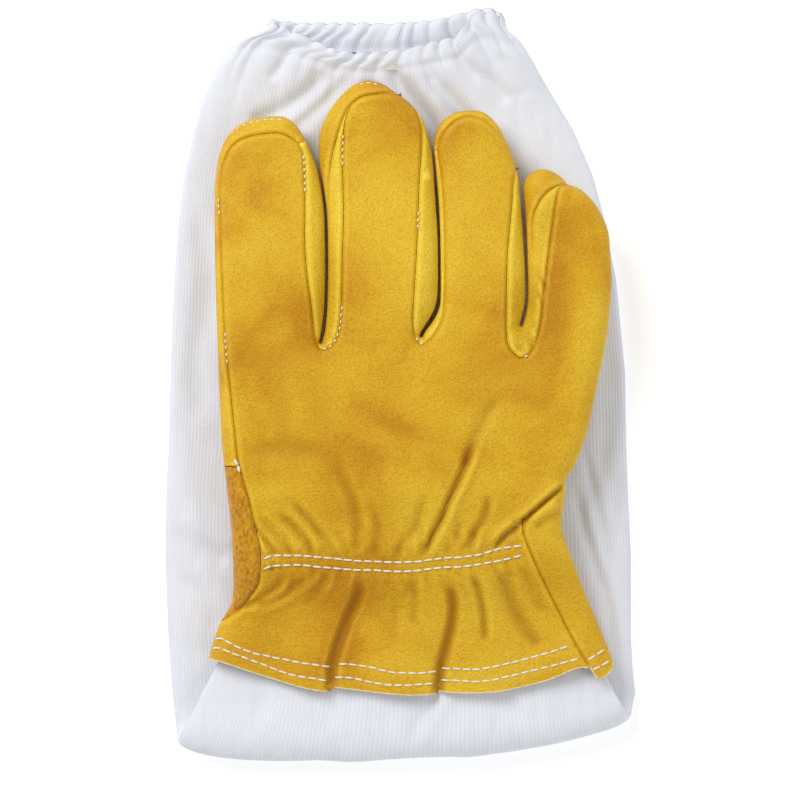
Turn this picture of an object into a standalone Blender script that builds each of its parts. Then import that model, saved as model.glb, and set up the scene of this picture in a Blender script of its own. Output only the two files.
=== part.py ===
"""Beekeeping glove for the right hand, packed flat with its long sleeve folded back under it.

The glove lies palm down, fingertips towards +Y, on the folded sleeve. Lengths are millimetres, turned
to metres by MM where a mesh is made. The leather hand is a hollow form: a silhouette, a level for its
top and one for its bottom, and rounded sides. Each panel is a stretch of that form with its own
leather thickness, and neighbouring panels keep a small gap along their seam.
"""

import math

import bmesh
import bpy
import numpy as np
from mathutils import Vector
from mathutils.geometry import delaunay_2d_cdt

MM = 0.001
COLLECTION = "beekeeping_glove"

# Materials: colour, roughness.
LEATHER = ((0.64, 0.37, 0.03), 0.55)
SUEDE = ((0.52, 0.27, 0.02), 0.85)
CANVAS = ((0.83, 0.84, 0.88), 0.8)
ELASTIC = ((0.9, 0.9, 0.9), 0.7)

# Leather and cloth thicknesses, and the gap left along each seam.
LEATHER_THICK = 1.2
THUMB_THICK = 1.0
CANVAS_THICK = 1.0
SEAM_GAP = 0.8
SEAM_GAP_BELOW = 1.1
CLEARANCE = 0.4

# Sleeve tubes: height of the flattened tube, and the level that the sleeve folds at.
TUBE_HEIGHT = 9.0
FOLD_Z = 10.0
STUB_LOW = 2 * FOLD_Z - TUBE_HEIGHT

# Levels of the leather hand's bottom and top, as (y, bottom, top) from the hem to the fingertips.
LEVELS = (
    (-84.0, 9.4, 21.5),
    (-52.0, 18.7, 30.5),
    (-36.0, 18.7, 33.6),
    (31.0, 18.7, 33.6),
    (92.0, 9.6, 25.2),
)
SIDE_ROUND = 9.0
CUFF_ROUND = 6.0
CUFF_ROUND_Y = (-80.0, -45.0)

# Plan of the hand, clockwise from the hem on the left: each run of its outline as points on a smooth
# curve. Neighbouring fingers lie side by side, and a run that ends at a crotch stops at its turn.
CUFF_LEFT = ((-66.7, -95.4), (-64.9, -89.4), (-62.5, -82.4))
SUEDE_SIDE = (
    (-62.5, -82.4), (-60.4, -79.3), (-58.3, -74.7), (-57.9, -66.0), (-58.1, -53.7), (-58.8, -45.0), (-60.7, -27.8),
)
INDEX_LEFT = ((-60.7, -27.8), (-61.8, -15.2), (-63.2, 19.8), (-64.0, 46.0), (-64.4, 68.8))
INDEX_TIP = (
    (-64.4, 68.8), (-63.5, 77.5), (-62.1, 83.5), (-59.3, 88.7), (-55.5, 91.9), (-50.6, 94.0), (-44.3, 94.8),
    (-39.4, 94.3), (-35.5, 91.2), (-32.7, 86.3),
)
INDEX_RIGHT = (
    (-32.7, 86.3), (-29.9, 80.3), (-27.9, 74.0), (-26.2, 63.5), (-25.6, 51.3), (-25.5, 37.3), (-25.9, 26.8),
    (-26.8, 19.5), (-27.6, 15.5),
)
MIDDLE_LEFT = (
    (-26.2, 15.5), (-25.2, 19.5), (-24.6, 26.8), (-24.2, 37.3), (-24.3, 51.3), (-24.8, 61.0), (-26.2, 70.5),
)
MIDDLE_TIP = (
    (-26.2, 70.5), (-27.3, 76.5), (-27.9, 82.8), (-27.4, 89.1), (-25.2, 95.0), (-22.0, 99.9), (-17.8, 104.3),
    (-14.0, 106.6), (-10.0, 107.3), (-5.4, 106.0), (-0.5, 102.7), (3.7, 99.6), (7.2, 95.7), (8.8, 92.8),
)
MIDDLE_RIGHT = (
    (8.8, 92.8), (10.6, 86.5), (11.7, 79.3), (12.2, 72.3), (12.6, 63.5), (13.2, 51.3), (13.2, 33.8),
    (12.2, 27.5), (10.2, 23.2), (8.3, 20.2), (7.2, 17.7),
)
RING_LEFT = (
    (8.6, 17.7), (9.8, 19.8), (12.0, 22.4), (14.2, 26.4), (14.9, 31.5), (14.9, 51.3), (14.3, 63.5),
    (13.6, 72.3), (13.0, 79.3), (12.6, 83.5),
)
RING_TIP = (
    (12.6, 83.5), (13.0, 88.0), (14.6, 92.0), (18.0, 95.2), (22.2, 96.7), (28.5, 96.6), (31.7, 94.8),
    (34.8, 91.5), (37.3, 87.0),
)
RING_RIGHT = (
    (37.3, 87.0), (39.4, 82.4), (41.1, 76.8), (42.0, 72.3), (42.7, 63.5), (43.2, 51.3), (43.6, 39.0),
    (43.5, 30.3), (42.7, 25.0), (42.0, 21.5),
)
LITTLE_LEFT = (
    (43.4, 21.5), (44.4, 25.0), (45.3, 30.3), (45.4, 39.0), (45.2, 51.3), (44.7, 61.8), (43.9, 69.5),
)
LITTLE_TIP = (
    (43.9, 69.5), (44.8, 72.6), (47.2, 75.2), (50.6, 76.2), (54.1, 75.2), (56.9, 73.3), (59.3, 70.7),
)
LITTLE_RIGHT = (
    (59.3, 70.7), (62.8, 69.5), (66.0, 67.0), (69.1, 63.2), (71.6, 58.6), (73.3, 53.4), (73.8, 46.0),
    (74.2, 37.3), (73.8, 30.3), (72.4, 16.3), (68.8, -1.2), (65.6, -15.9), (61.8, -26.4), (58.1, -32.7),
)
CUFF_RIGHT = (
    (58.1, -32.7), (57.6, -39.7), (56.8, -46.4), (57.6, -52.0), (62.8, -66.0), (68.1, -78.9), (73.0, -90.5),
    (75.8, -98.2),
)
HEM = (
    (61.8, -98.7), (51.3, -103.1), (35.5, -106.6), (14.0, -107.2), (-8.2, -107.1), (-24.7, -106.3),
    (-34.5, -105.2), (-48.5, -101.0), (-60.7, -96.8),
)
BACK_HEM_END_Y = -98.6
PALM_SEAM_Y = -46.0
CROTCH_R = 0.7

# How far each side piece reaches in over the top, at even steps along its run, and in under the bottom.
REACH_CUFF_LEFT = (4.5,)
REACH_SUEDE = (4.0, 6.8, 8.6, 9.4, 9.0, 7.6, 5.2)
REACH_INDEX = (4.8, 4.4, 3.9, 3.3, 2.9, 2.6, 2.3, 1.9, 2.2, 4.4, 6.0, 6.4, 3.6)
REACH_INDEX_MIDDLE = (3.2, 4.2, 5.6, 6.9, 7.2, 6.2, 4.4, 2.4, 4.9, 5.2, 5.4, 5.8, 6.5)
REACH_MIDDLE = (6.8, 7.8, 7.2, 5.6, 5.0, 3.0, 1.4, 1.4)
REACH_MIDDLE_RING = (1.6, 3.6, 5.2, 6.3, 7.2, 7.6, 6.6, 2.4, 2.4, 1.4, 1.1, 1.0, 1.0, 1.2, 1.4)
REACH_RING = (1.8, 2.4, 3.2, 2.6, 2.4, 2.8, 2.2, 1.2)
REACH_RING_LITTLE = (1.2, 1.5, 3.2, 5.0, 6.6, 7.2, 8.0, 6.6, 6.0, 6.2, 5.6, 3.8)
REACH_LITTLE = (3.6, 2.8, 2.6, 2.4, 2.0, 1.2)
REACH_LITTLE_SIDE = (5.0,)
REACH_CUFF_RIGHT = (9.0, 12.0, 12.6, 12.4, 11.6, 10.6, 9.6)
REACH_BELOW = 5.0

# Mesh steps along sides, round tips, across strips and inside panels.
SIDE_STEP = 8.0
TIP_STEP = 4.5
STRIP_SEGMENTS = 6
PANEL_STEP = 10.0
RIM_RING = 3.6
SIDE_TRIM = 0.4

# Thumb: folded under the palm, turning on the upright axis through its base.
THUMB_BASE = (-43.0, -33.5)
THUMB_AIM_DEG = 50.0
THUMB_BASE_R = 16.5
THUMB_TIP_R = 13.0
THUMB_REACH = 47.0
THUMB_LOW, THUMB_HIGH = 9.4, 18.2
THUMB_ROUND = 7.0
THUMB_RIM = 0.9
THUMB_HOLE_R = 10.0

# Wrist elastic: the arc of its middle line, its width and its thickness.
ELASTIC_LINE = ((-45.5, -59.5), (-22.0, -61.5), (3.0, -63.0), (26.0, -61.5), (41.0, -58.2))
ELASTIC_WIDTH = 7.0
ELASTIC_THICK = 0.9

# Long sleeve under the hand: (y, left, right), the height near the mouth, and the mouth's slant.
SLEEVE_SIDES = (
    (-131.4, -78.0, 82.0),
    (-85.0, -80.3, 83.0),
    (-44.0, -83.0, 81.6),
    (5.0, -81.4, 81.0),
    (38.0, -79.8, 76.5),
    (61.0, -78.2, 71.6),
    (86.0, -73.2, 63.0),
    (100.0, -70.0, 56.6),
    (107.0, -67.0, 53.0),
    (112.0, -61.5, 50.0),
    (114.4, -54.0, 47.8),
)
STUB_SIDES = (
    (-88.0, -60.0, 67.0),
    (-97.0, -62.5, 70.5),
    (-108.0, -68.0, 75.5),
    (-131.4, -78.0, 82.0),
)
MOUTH_HEIGHT = 13.0
MOUTH_RISE_Y = (101.0, 109.0)
MOUTH_SLANT = 6.5
SLANT_Y = (60.0, 108.0)
TUBE_FLAT_SEGMENTS = 7
TUBE_ROUND_SEGMENTS = 4

# Elastic casing at the mouth: a folded channel with the elastic band inside it.
CASING_SIDES = (-52.0, 47.0)
CASING_END_SIDES = (-48.5, 44.5)
CASING_START_Y = 115.4
CASING_LENGTH = 9.0
CASING_WALL = 0.8
CASING_DEPTH = 2.9
BAND_THICK = 0.4


def smoothstep(value, low, high):
    share = np.clip((value - low) / (high - low), 0.0, 1.0)
    return share * share * (3 - 2 * share)


def through(points, step):
    """Points about a step apart on a smooth curve through the given ones."""
    knots = np.array(points, float)
    knots = np.vstack([2 * knots[0] - knots[1], knots, 2 * knots[-1] - knots[-2]])
    fine = []
    for a, b, c, d in zip(knots, knots[1:], knots[2:], knots[3:]):
        for t in np.linspace(0, 1, 12, endpoint=False):
            fine.append(0.5 * (2 * b + (c - a) * t + (2 * a - 5 * b + 4 * c - d) * t**2
                               + (3 * b - 3 * c + d - a) * t**3))
    fine.append(knots[-2])
    return even(np.array(fine), step)


def even(path, step):
    """The path resampled at even distances of about a step, with both ends kept."""
    lengths = np.concatenate([[0], np.cumsum(np.linalg.norm(np.diff(path, axis=0), axis=1))])
    count = max(2, int(round(lengths[-1] / step)) + 1)
    at = np.linspace(0, lengths[-1], count)
    return np.column_stack([np.interp(at, lengths, path[:, k]) for k in range(2)])


def round_crotch(before, after):
    """A run down one finger, round the crotch and up the next finger."""
    centre = (np.array(before[-1]) + np.array(after[0])) / 2
    turn = [(centre[0] - CROTCH_R * math.cos(a), centre[1] - CROTCH_R * math.sin(a))
            for a in np.linspace(0, math.pi, 7)]
    return np.vstack([through(before, SIDE_STEP)[:-1], turn, through(after, SIDE_STEP)[1:]])


def trimmed(path):
    """The path with a little cut off each end, which leaves the gap between neighbouring strips."""
    cut = path.copy()
    for end, inner in ((0, 1), (-1, -2)):
        step = path[inner] - path[end]
        cut[end] = path[end] + step / np.linalg.norm(step) * SIDE_TRIM
    return cut


def side_stretches():
    """The outline's stretches, each with trimmed ends and normals shared where two of them meet."""
    stretches = silhouette()
    whole = np.vstack([path[:-1] for _, path, _ in stretches] + [stretches[-1][1][-1:]])
    normals = inward(whole)
    start = 0
    found = []
    for owner, path, reach in stretches:
        found.append((owner, trimmed(path), normals[start:start + len(path)], reach))
        start += len(path) - 1
    return found


def inward(path):
    """Unit normals that point into the hand, on the right of a walk round it by way of the fingers."""
    tangents = np.gradient(path, axis=0)
    tangents /= np.linalg.norm(tangents, axis=1)[:, None]
    return np.column_stack([tangents[:, 1], -tangents[:, 0]])


def silhouette():
    """(owner, path, reach over the top) of each stretch of the hand's outline, from hem to hem."""
    index_wrap = np.vstack([through(INDEX_LEFT, SIDE_STEP)[:-1], through(INDEX_TIP, TIP_STEP)])
    stretches = [
        ("back_panel", through(CUFF_LEFT, SIDE_STEP), REACH_CUFF_LEFT),
        ("suede_side_patch", through(SUEDE_SIDE, SIDE_STEP), REACH_SUEDE),
        ("palm_panel", index_wrap, REACH_INDEX),
        ("fourchette_index_middle", round_crotch(INDEX_RIGHT, MIDDLE_LEFT), REACH_INDEX_MIDDLE),
        ("palm_panel", through(MIDDLE_TIP, TIP_STEP), REACH_MIDDLE),
        ("fourchette_middle_ring", round_crotch(MIDDLE_RIGHT, RING_LEFT), REACH_MIDDLE_RING),
        ("palm_panel", through(RING_TIP, TIP_STEP), REACH_RING),
        ("fourchette_ring_little", round_crotch(RING_RIGHT, LITTLE_LEFT), REACH_RING_LITTLE),
        ("palm_panel", through(LITTLE_TIP, TIP_STEP), REACH_LITTLE),
        ("back_panel", through(LITTLE_RIGHT, TIP_STEP), REACH_LITTLE_SIDE),
        ("palm_cuff", through(CUFF_RIGHT, SIDE_STEP), REACH_CUFF_RIGHT),
    ]
    return [(owner, path, eased_reach(path, reach)) for owner, path, reach in stretches]


def eased_reach(path, reach):
    """The reach at each point of a path, from values at even steps along it."""
    lengths = np.concatenate([[0], np.cumsum(np.linalg.norm(np.diff(path, axis=0), axis=1))])
    return np.interp(lengths / lengths[-1], np.linspace(0, 1, len(reach)), reach)


OUTLINE = np.vstack([path for _, path, _ in silhouette()])
STRETCHES = side_stretches()


def side_distance(points):
    """Distance in plan from each point to the nearest closed side of the hand."""
    starts, ends = OUTLINE[:-1], OUTLINE[1:]
    runs = ends - starts
    lengths = np.maximum((runs**2).sum(axis=1), 1e-9)
    nearest = np.full(len(points), np.inf)
    for start, run, length in zip(starts, runs, lengths):
        share = np.clip(((points - start) @ run) / length, 0, 1)
        away = np.linalg.norm(points - start - share[:, None] * run, axis=1)
        nearest = np.minimum(nearest, away)
    return nearest


def levels(y):
    """(middle level, half thickness, radius of the rounded side) of the hand at each y."""
    table = np.array(LEVELS)
    bottom, top = (ease(y, table[:, 0], table[:, k]) for k in (1, 2))
    rounding = CUFF_ROUND + (SIDE_ROUND - CUFF_ROUND) * smoothstep(y, *CUFF_ROUND_Y)
    return (bottom + top) / 2, (top - bottom) / 2, rounding


def ease(y, knots, values):
    """Smooth steps from each value to the next, level at every knot."""
    result = np.full(np.shape(y), values[0], float)
    for low, high, start, end in zip(knots, knots[1:], values, values[1:]):
        result = result + (end - start) * smoothstep(y, low, high)
    return result


def hand_level(points, side):
    """Height of the hand's top (side 1) or bottom (side -1) at each point in plan."""
    middle, half, rounding = levels(points[:, 1])
    share = np.clip(side_distance(points) / rounding, 0, 1)
    return middle + side * half * np.sqrt(1 - (1 - share) ** 2)


def collection(name):
    made = bpy.data.collections.new(name)
    bpy.context.scene.collection.children.link(made)
    return made


def material(name, colour, roughness):
    made = bpy.data.materials.new(name)
    made.use_nodes = True
    shader = made.node_tree.nodes["Principled BSDF"]
    shader.inputs["Base Color"].default_value = (*colour, 1.0)
    shader.inputs["Roughness"].default_value = roughness
    return made


def surface(name, points, faces, look, thickness, offset=-1.0):
    """An open surface given in millimetres, made a sheet of the given thickness."""
    mesh = bpy.data.meshes.new(name)
    mesh.from_pydata([Vector(p) * MM for p in points], [], faces)
    shape = bmesh.new()
    shape.from_mesh(mesh)
    bmesh.ops.remove_doubles(shape, verts=shape.verts, dist=0.02 * MM)
    shape.to_mesh(mesh)
    shape.free()
    mesh.shade_smooth()
    mesh.materials.append(material(name, *look))
    made = bpy.data.objects.new(name, mesh)
    PARTS.objects.link(made)
    solid = made.modifiers.new("thickness", "SOLIDIFY")
    solid.thickness = thickness * MM
    solid.offset = offset
    solid.use_even_offset = False
    return made


def strip(path, normals, reach):
    """(points, faces) of the sheet round the hand's side: over the edge from above to below."""
    middle, half, rounding = levels(path[:, 1])
    points = []
    for k, (place, normal) in enumerate(zip(path, normals)):
        top, bottom = (turned(depth, rounding[k]) for depth in (reach[k], REACH_BELOW))
        for turn in np.linspace(top, -bottom, STRIP_SEGMENTS + 1):
            angle = max(-math.pi / 2, min(math.pi / 2, turn))
            depth = rounding[k] * (1 - math.cos(angle) + abs(turn - angle))
            points.append((*(place + normal * depth), middle[k] + half[k] * math.sin(angle)))
    width = STRIP_SEGMENTS + 1
    faces = []
    for k in range(len(path) - 1):
        for j in range(width - 1):
            a = k * width + j
            faces.append((a, a + width, a + width + 1, a + 1))
    return points, faces


def turned(depth, rounding):
    """How far a sheet has turned over the rounded side at a depth in from the outline, in radians."""
    if depth < rounding:
        return math.acos(1 - depth / rounding)
    return math.pi / 2 + (depth - rounding) / rounding


def panel(edge, side):
    """(points, faces) of a top or bottom panel that fills a closed loop, whose points have their levels."""
    edge = np.array(edge)
    loop = edge[:, :2]
    ring = loop + loop_normals(loop) * RIM_RING
    low, high = loop.min(axis=0), loop.max(axis=0)
    rows = np.arange(low[1], high[1], PANEL_STEP * 0.87)
    grid = [(x + (k % 2) * PANEL_STEP / 2, y) for k, y in enumerate(rows)
            for x in np.arange(low[0], high[0], PANEL_STEP)]
    inner = np.array(grid)
    ring = ring[inside(ring, loop) & (edge_distance(ring, loop) > 0.8 * RIM_RING)]
    inner = inner[inside(inner, loop) & (edge_distance(inner, loop) > RIM_RING + 0.45 * PANEL_STEP)]
    plan = np.vstack([loop, ring, inner])
    made = delaunay_2d_cdt([Vector(p) for p in plan], [], [list(range(len(loop)))], 1, 1e-4)
    flat = np.array([tuple(p) for p in made[0]])
    heights = hand_level(flat, side)
    for k, sources in enumerate(made[3]):
        on_edge = [source for source in sources if source < len(edge)]
        if on_edge:
            heights[k] = edge[on_edge[0], 2]
    points = [(x, y, z) for (x, y), z in zip(flat, heights)]
    faces = [facing(face, flat, side) for face in made[2]]
    return points, faces


def levelled(path, side):
    """Points in plan given the hand's level above or below."""
    path = np.array(path)
    return [(x, y, z) for (x, y), z in zip(path, hand_level(path, side))]


def facing(face, flat, side):
    """The face wound so that its normal points away from the hand."""
    a, b, c = (flat[k] for k in face[:3])
    turn = (b[0] - a[0]) * (c[1] - a[1]) - (b[1] - a[1]) * (c[0] - a[0])
    return tuple(face) if turn * side > 0 else tuple(reversed(face))


def loop_normals(loop):
    """Normals into a loop that runs clockwise seen from above."""
    tangents = np.roll(loop, -1, axis=0) - np.roll(loop, 1, axis=0)
    tangents /= np.maximum(np.linalg.norm(tangents, axis=1), 1e-9)[:, None]
    return np.column_stack([tangents[:, 1], -tangents[:, 0]])


def inside(points, loop):
    found = np.zeros(len(points), bool)
    for (x0, y0), (x1, y1) in zip(loop, np.roll(loop, -1, axis=0)):
        crosses = (y0 > points[:, 1]) != (y1 > points[:, 1])
        rise = (y1 - y0) if y1 != y0 else 1e-9
        found ^= crosses & (points[:, 0] < (x1 - x0) * (points[:, 1] - y0) / rise + x0)
    return found


def edge_distance(points, loop):
    nearest = np.full(len(points), np.inf)
    for start, end in zip(loop, np.roll(loop, -1, axis=0)):
        run = end - start
        share = np.clip(((points - start) @ run) / max(run @ run, 1e-9), 0, 1)
        away = np.linalg.norm(points - start - share[:, None] * run, axis=1)
        nearest = np.minimum(nearest, away)
    return nearest


def panel_edge(owner, side, keep=lambda y: np.full(len(y), True)):
    """The loop of a panel along the hand's sides: on its own strips' edge, or a gap inside others'."""
    points = []
    for holder, path, normals, reach in STRETCHES:
        depth = reach if side > 0 else np.full(len(path), REACH_BELOW)
        if holder != owner:
            depth = depth + (SEAM_GAP if side > 0 else SEAM_GAP_BELOW)
        middle, half, rounding = levels(path[:, 1])
        share = np.clip(depth / rounding, 0, 1)
        level = middle + side * half * np.sqrt(1 - (1 - share) ** 2)
        edge = np.column_stack([path + normals * depth[:, None], level])
        points.extend(edge[keep(path[:, 1])])
    return points


def joined(pieces):
    """Several (points, faces) as one."""
    points, faces = [], []
    for more, added in pieces:
        faces.extend(tuple(k + len(points) for k in face) for face in added)
        points.extend(more)
    return points, faces


def own_strips(owner):
    return [strip(*rest) for holder, *rest in STRETCHES if holder == owner]


def make_back_panel():
    edge = panel_edge("back_panel", 1, keep=lambda y: y > BACK_HEM_END_Y)
    hem = [p for p in through(HEM, PANEL_STEP) if edge[0][0] + 2 < p[0] < edge[-1][0] - 2]
    shell = joined([panel(edge + levelled(hem, 1), 1)] + own_strips("back_panel"))
    surface("back_panel", *shell, LEATHER, LEATHER_THICK)


def make_palm_panel():
    edge = panel_edge("palm_panel", -1, keep=lambda y: y > PALM_SEAM_Y + SEAM_GAP)
    seam = even(np.array([(edge[-1][0], PALM_SEAM_Y + SEAM_GAP), (edge[0][0], PALM_SEAM_Y + SEAM_GAP)]),
                PANEL_STEP)[1:-1]
    shell = joined([panel(edge + levelled(seam, -1), -1)] + own_strips("palm_panel"))
    palm = surface("palm_panel", *shell, LEATHER, LEATHER_THICK)
    drill(palm, THUMB_BASE, THUMB_HOLE_R)


def make_palm_cuff():
    edge = panel_edge("palm_cuff", -1, keep=lambda y: y < PALM_SEAM_Y)
    left = [p for p in edge if p[0] < 0]
    right = [p for p in edge if p[0] > 0]
    top = even(np.array([left[-1][:2], right[0][:2]]), PANEL_STEP)[1:-1]
    hem = [p for p in through(HEM, PANEL_STEP) if left[0][0] + 3 < p[0] < right[-1][0] - 3]
    edge = left + levelled(top, -1) + right + levelled(hem, -1)
    shell = joined([panel(edge, -1)] + own_strips("palm_cuff"))
    surface("palm_cuff", *shell, LEATHER, LEATHER_THICK)


def make_side_pieces():
    for owner, *rest in STRETCHES:
        if owner.startswith("fourchette"):
            surface(owner, *strip(*rest), LEATHER, LEATHER_THICK)
        if owner == "suede_side_patch":
            surface(owner, *strip(*rest), SUEDE, LEATHER_THICK)


def drill(target, centre, radius):
    """Cuts an upright round hole through a sheet."""
    bpy.ops.mesh.primitive_cylinder_add(vertices=24, radius=radius * MM, depth=60 * MM,
                                        location=(centre[0] * MM, centre[1] * MM, 20 * MM))
    cutter = bpy.context.object
    cutter.name = f"cutter_{target.name}"
    for holder in list(cutter.users_collection):
        holder.objects.unlink(cutter)
    CUTTERS.objects.link(cutter)
    cutter.hide_render = True
    cutter.display_type = "WIRE"
    cutter.parent = target.parent
    if target.parent:
        cutter.matrix_parent_inverse = target.parent.matrix_world.inverted()
    cut = target.modifiers.new("hole", "BOOLEAN")
    cut.operation = "DIFFERENCE"
    cut.object = cutter


def make_wrist_elastic():
    line = through(ELASTIC_LINE, PANEL_STEP)
    normals = inward(line)
    rows = [line + normals * share * ELASTIC_WIDTH for share in (-0.5, 0.5)]
    points = []
    for first, second in zip(*rows):
        for place in (first, second):
            level = hand_level(np.array([place]), 1)[0]
            points.append((*place, level - LEATHER_THICK - CLEARANCE))
    faces = [(2 * k, 2 * k + 1, 2 * k + 3, 2 * k + 2) for k in range(len(line) - 1)]
    faces = [facing(face, np.array(points)[:, :2], 1) for face in faces]
    surface("wrist_elastic", points, faces, ELASTIC, ELASTIC_THICK)


def thumb_outline():
    """The thumb's plan round its base, aimed along +X: a large arc, a small arc and straight sides."""
    lean = math.asin((THUMB_BASE_R - THUMB_TIP_R) / THUMB_REACH)
    tip = [(THUMB_REACH + THUMB_TIP_R * math.cos(a), THUMB_TIP_R * math.sin(a))
           for a in np.linspace(math.pi / 2 - lean, lean - math.pi / 2, 9)]
    base = [(THUMB_BASE_R * math.cos(a), THUMB_BASE_R * math.sin(a))
            for a in np.linspace(lean - math.pi / 2, lean - math.pi / 2 - math.pi - 2 * lean, 11)]
    sides = [even(np.array([tip[-1], base[0]]), PANEL_STEP)[1:-1],
             even(np.array([base[-1], tip[0]]), PANEL_STEP)[1:-1]]
    return np.vstack([tip, sides[0], base, sides[1]])


def make_thumb():
    """Upper and lower halves of the thumb, each a domed sheet, under an empty on the thumb's axis."""
    hinge = bpy.data.objects.new("thumb_axis", None)
    hinge.location = (THUMB_BASE[0] * MM, THUMB_BASE[1] * MM, 0.0)
    hinge.rotation_euler = (0.0, 0.0, math.radians(THUMB_AIM_DEG))
    PARTS.objects.link(hinge)
    bpy.context.view_layer.update()
    loop = thumb_outline()
    rings = [loop + loop_normals(loop) * inset for inset in (1.2, 3.2, THUMB_ROUND)]
    axis_points = np.array([(x, 0.0) for x in np.arange(-4.0, THUMB_REACH + 1, 8.5)])
    plan = np.vstack([loop, *rings, axis_points])
    made = delaunay_2d_cdt([Vector(p) for p in plan], [], [list(range(len(loop)))], 1, 1e-4)
    flat = np.array([tuple(p) for p in made[0]])
    share = np.clip(edge_distance(flat, loop) / THUMB_ROUND, 0, 1)
    middle, half = (THUMB_LOW + THUMB_HIGH) / 2, (THUMB_HIGH - THUMB_LOW) / 2
    for name, side in (("thumb_back", 1), ("thumb_front", -1)):
        rise = THUMB_RIM + (half - THUMB_RIM) * np.sqrt(1 - (1 - share) ** 2)
        points = [(x, y, middle + side * up) for (x, y), up in zip(flat, rise)]
        faces = [facing(face, flat, side) for face in made[2]]
        half_thumb = surface(name, points, faces, LEATHER, THUMB_THICK)
        half_thumb.parent = hinge
        if side > 0:
            drill(half_thumb, THUMB_BASE, THUMB_HOLE_R)


def oval(left, right, low, high):
    """A flattened tube's ring in X and Z: flat below and above, half round at both sides."""
    radius = (high - low) / 2
    middle = (high + low) / 2
    ring = [(x, low) for x in np.linspace(left + radius, right - radius, TUBE_FLAT_SEGMENTS + 1)]
    turn = np.linspace(-math.pi / 2, math.pi / 2, TUBE_ROUND_SEGMENTS + 1)[1:-1]
    ring += [(right - radius + radius * math.cos(a), middle + radius * math.sin(a)) for a in turn]
    ring += [(x, high) for x in np.linspace(right - radius, left + radius, TUBE_FLAT_SEGMENTS + 1)]
    ring += [(left + radius - radius * math.cos(a), middle - radius * math.sin(a)) for a in turn]
    return ring


def lofted(rings):
    """(points, faces) of the open tube through the rings, which run from -Y to +Y."""
    count = len(rings[0])
    points = [point for ring in rings for point in ring]
    faces = []
    for k in range(len(rings) - 1):
        for j in range(count):
            a, b = k * count + j, k * count + (j + 1) % count
            faces.append((a, a + count, b + count, b))
    return points, faces


def slanted(ring, y, slant):
    """The ring at y, with its bottom moved towards +Y and its top towards -Y by the slant."""
    heights = [z for _, z in ring]
    low, high = min(heights), max(heights)
    return [(x, y + slant * (1 - 2 * (z - low) / (high - low)), z) for x, z in ring]


def make_sleeve():
    """The long part of the sleeve, under the hand, with its slanted end at the mouth."""
    knots = np.array(SLEEVE_SIDES)
    rings = []
    for y, left, right in knots:
        slant = MOUTH_SLANT * float(smoothstep(y, *SLANT_Y))
        high = TUBE_HEIGHT + (MOUTH_HEIGHT - TUBE_HEIGHT) * float(smoothstep(y - slant, *MOUTH_RISE_Y))
        rings.append(slanted(oval(left, right, 0.0, high), y, slant))
    surface("sleeve_tube", *lofted(rings), CANVAS, CANVAS_THICK)


def make_stub():
    """The short part of the sleeve, from inside the leather cuff to the fold."""
    rings = [slanted(oval(left, right, STUB_LOW, STUB_LOW + TUBE_HEIGHT), y, 0.0)
             for y, left, right in reversed(STUB_SIDES)]
    surface("sleeve_stub", *lofted(rings), CANVAS, CANVAS_THICK)


def casing_ring(share, inset):
    """The casing's ring at a share of its length, and an inset in from its outer face."""
    left, right = (a + (b - a) * share for a, b in zip(CASING_SIDES, CASING_END_SIDES))
    ring = oval(left + inset, right - inset, inset, MOUTH_HEIGHT - inset)
    return slanted(ring, CASING_START_Y + share * CASING_LENGTH, MOUTH_SLANT)


def make_mouth():
    """The mouth's folded channel, open towards the sleeve, and the elastic band in it."""
    outer, inner = CASING_WALL / 2, CASING_DEPTH - CASING_WALL / 2
    profile = [(0.0, outer), (0.5, outer), (0.92, outer), (1.0, (outer + inner) / 2),
               (0.92, inner), (0.5, inner), (0.12, inner)]
    surface("mouth_casing", *lofted([casing_ring(*p) for p in profile]), CANVAS, CASING_WALL, 0.0)
    middle = CASING_DEPTH / 2
    band = [casing_ring(share, middle) for share in (0.25, 0.5, 0.75)]
    surface("mouth_elastic", *lofted(band), ELASTIC, BAND_THICK, 0.0)


for old in list(bpy.data.objects):
    bpy.data.objects.remove(old)
PARTS = collection(COLLECTION)
CUTTERS = collection("cutters")
CUTTERS.hide_render = True
make_back_panel()
make_palm_panel()
make_palm_cuff()
make_side_pieces()
make_wrist_elastic()
make_thumb()
make_stub()
make_sleeve()
make_mouth()
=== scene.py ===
"""Looks of the beekeeping glove: a right hand of yellow goatskin lying on its folded canvas sleeve.

Lengths are millimetres, turned to metres by MM where a mesh is made. The hand is a height field over
its plan: seams cut the plan into leather pieces, and one relief of gathers, creases and stitched rows
runs through all of them. The sleeve is one tube of cloth from its elastic mouth, round its fold, to
its end inside the leather cuff.
"""

import math

import bmesh
import bpy
import numpy as np
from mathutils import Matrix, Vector, kdtree
from mathutils.geometry import delaunay_2d_cdt


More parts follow.
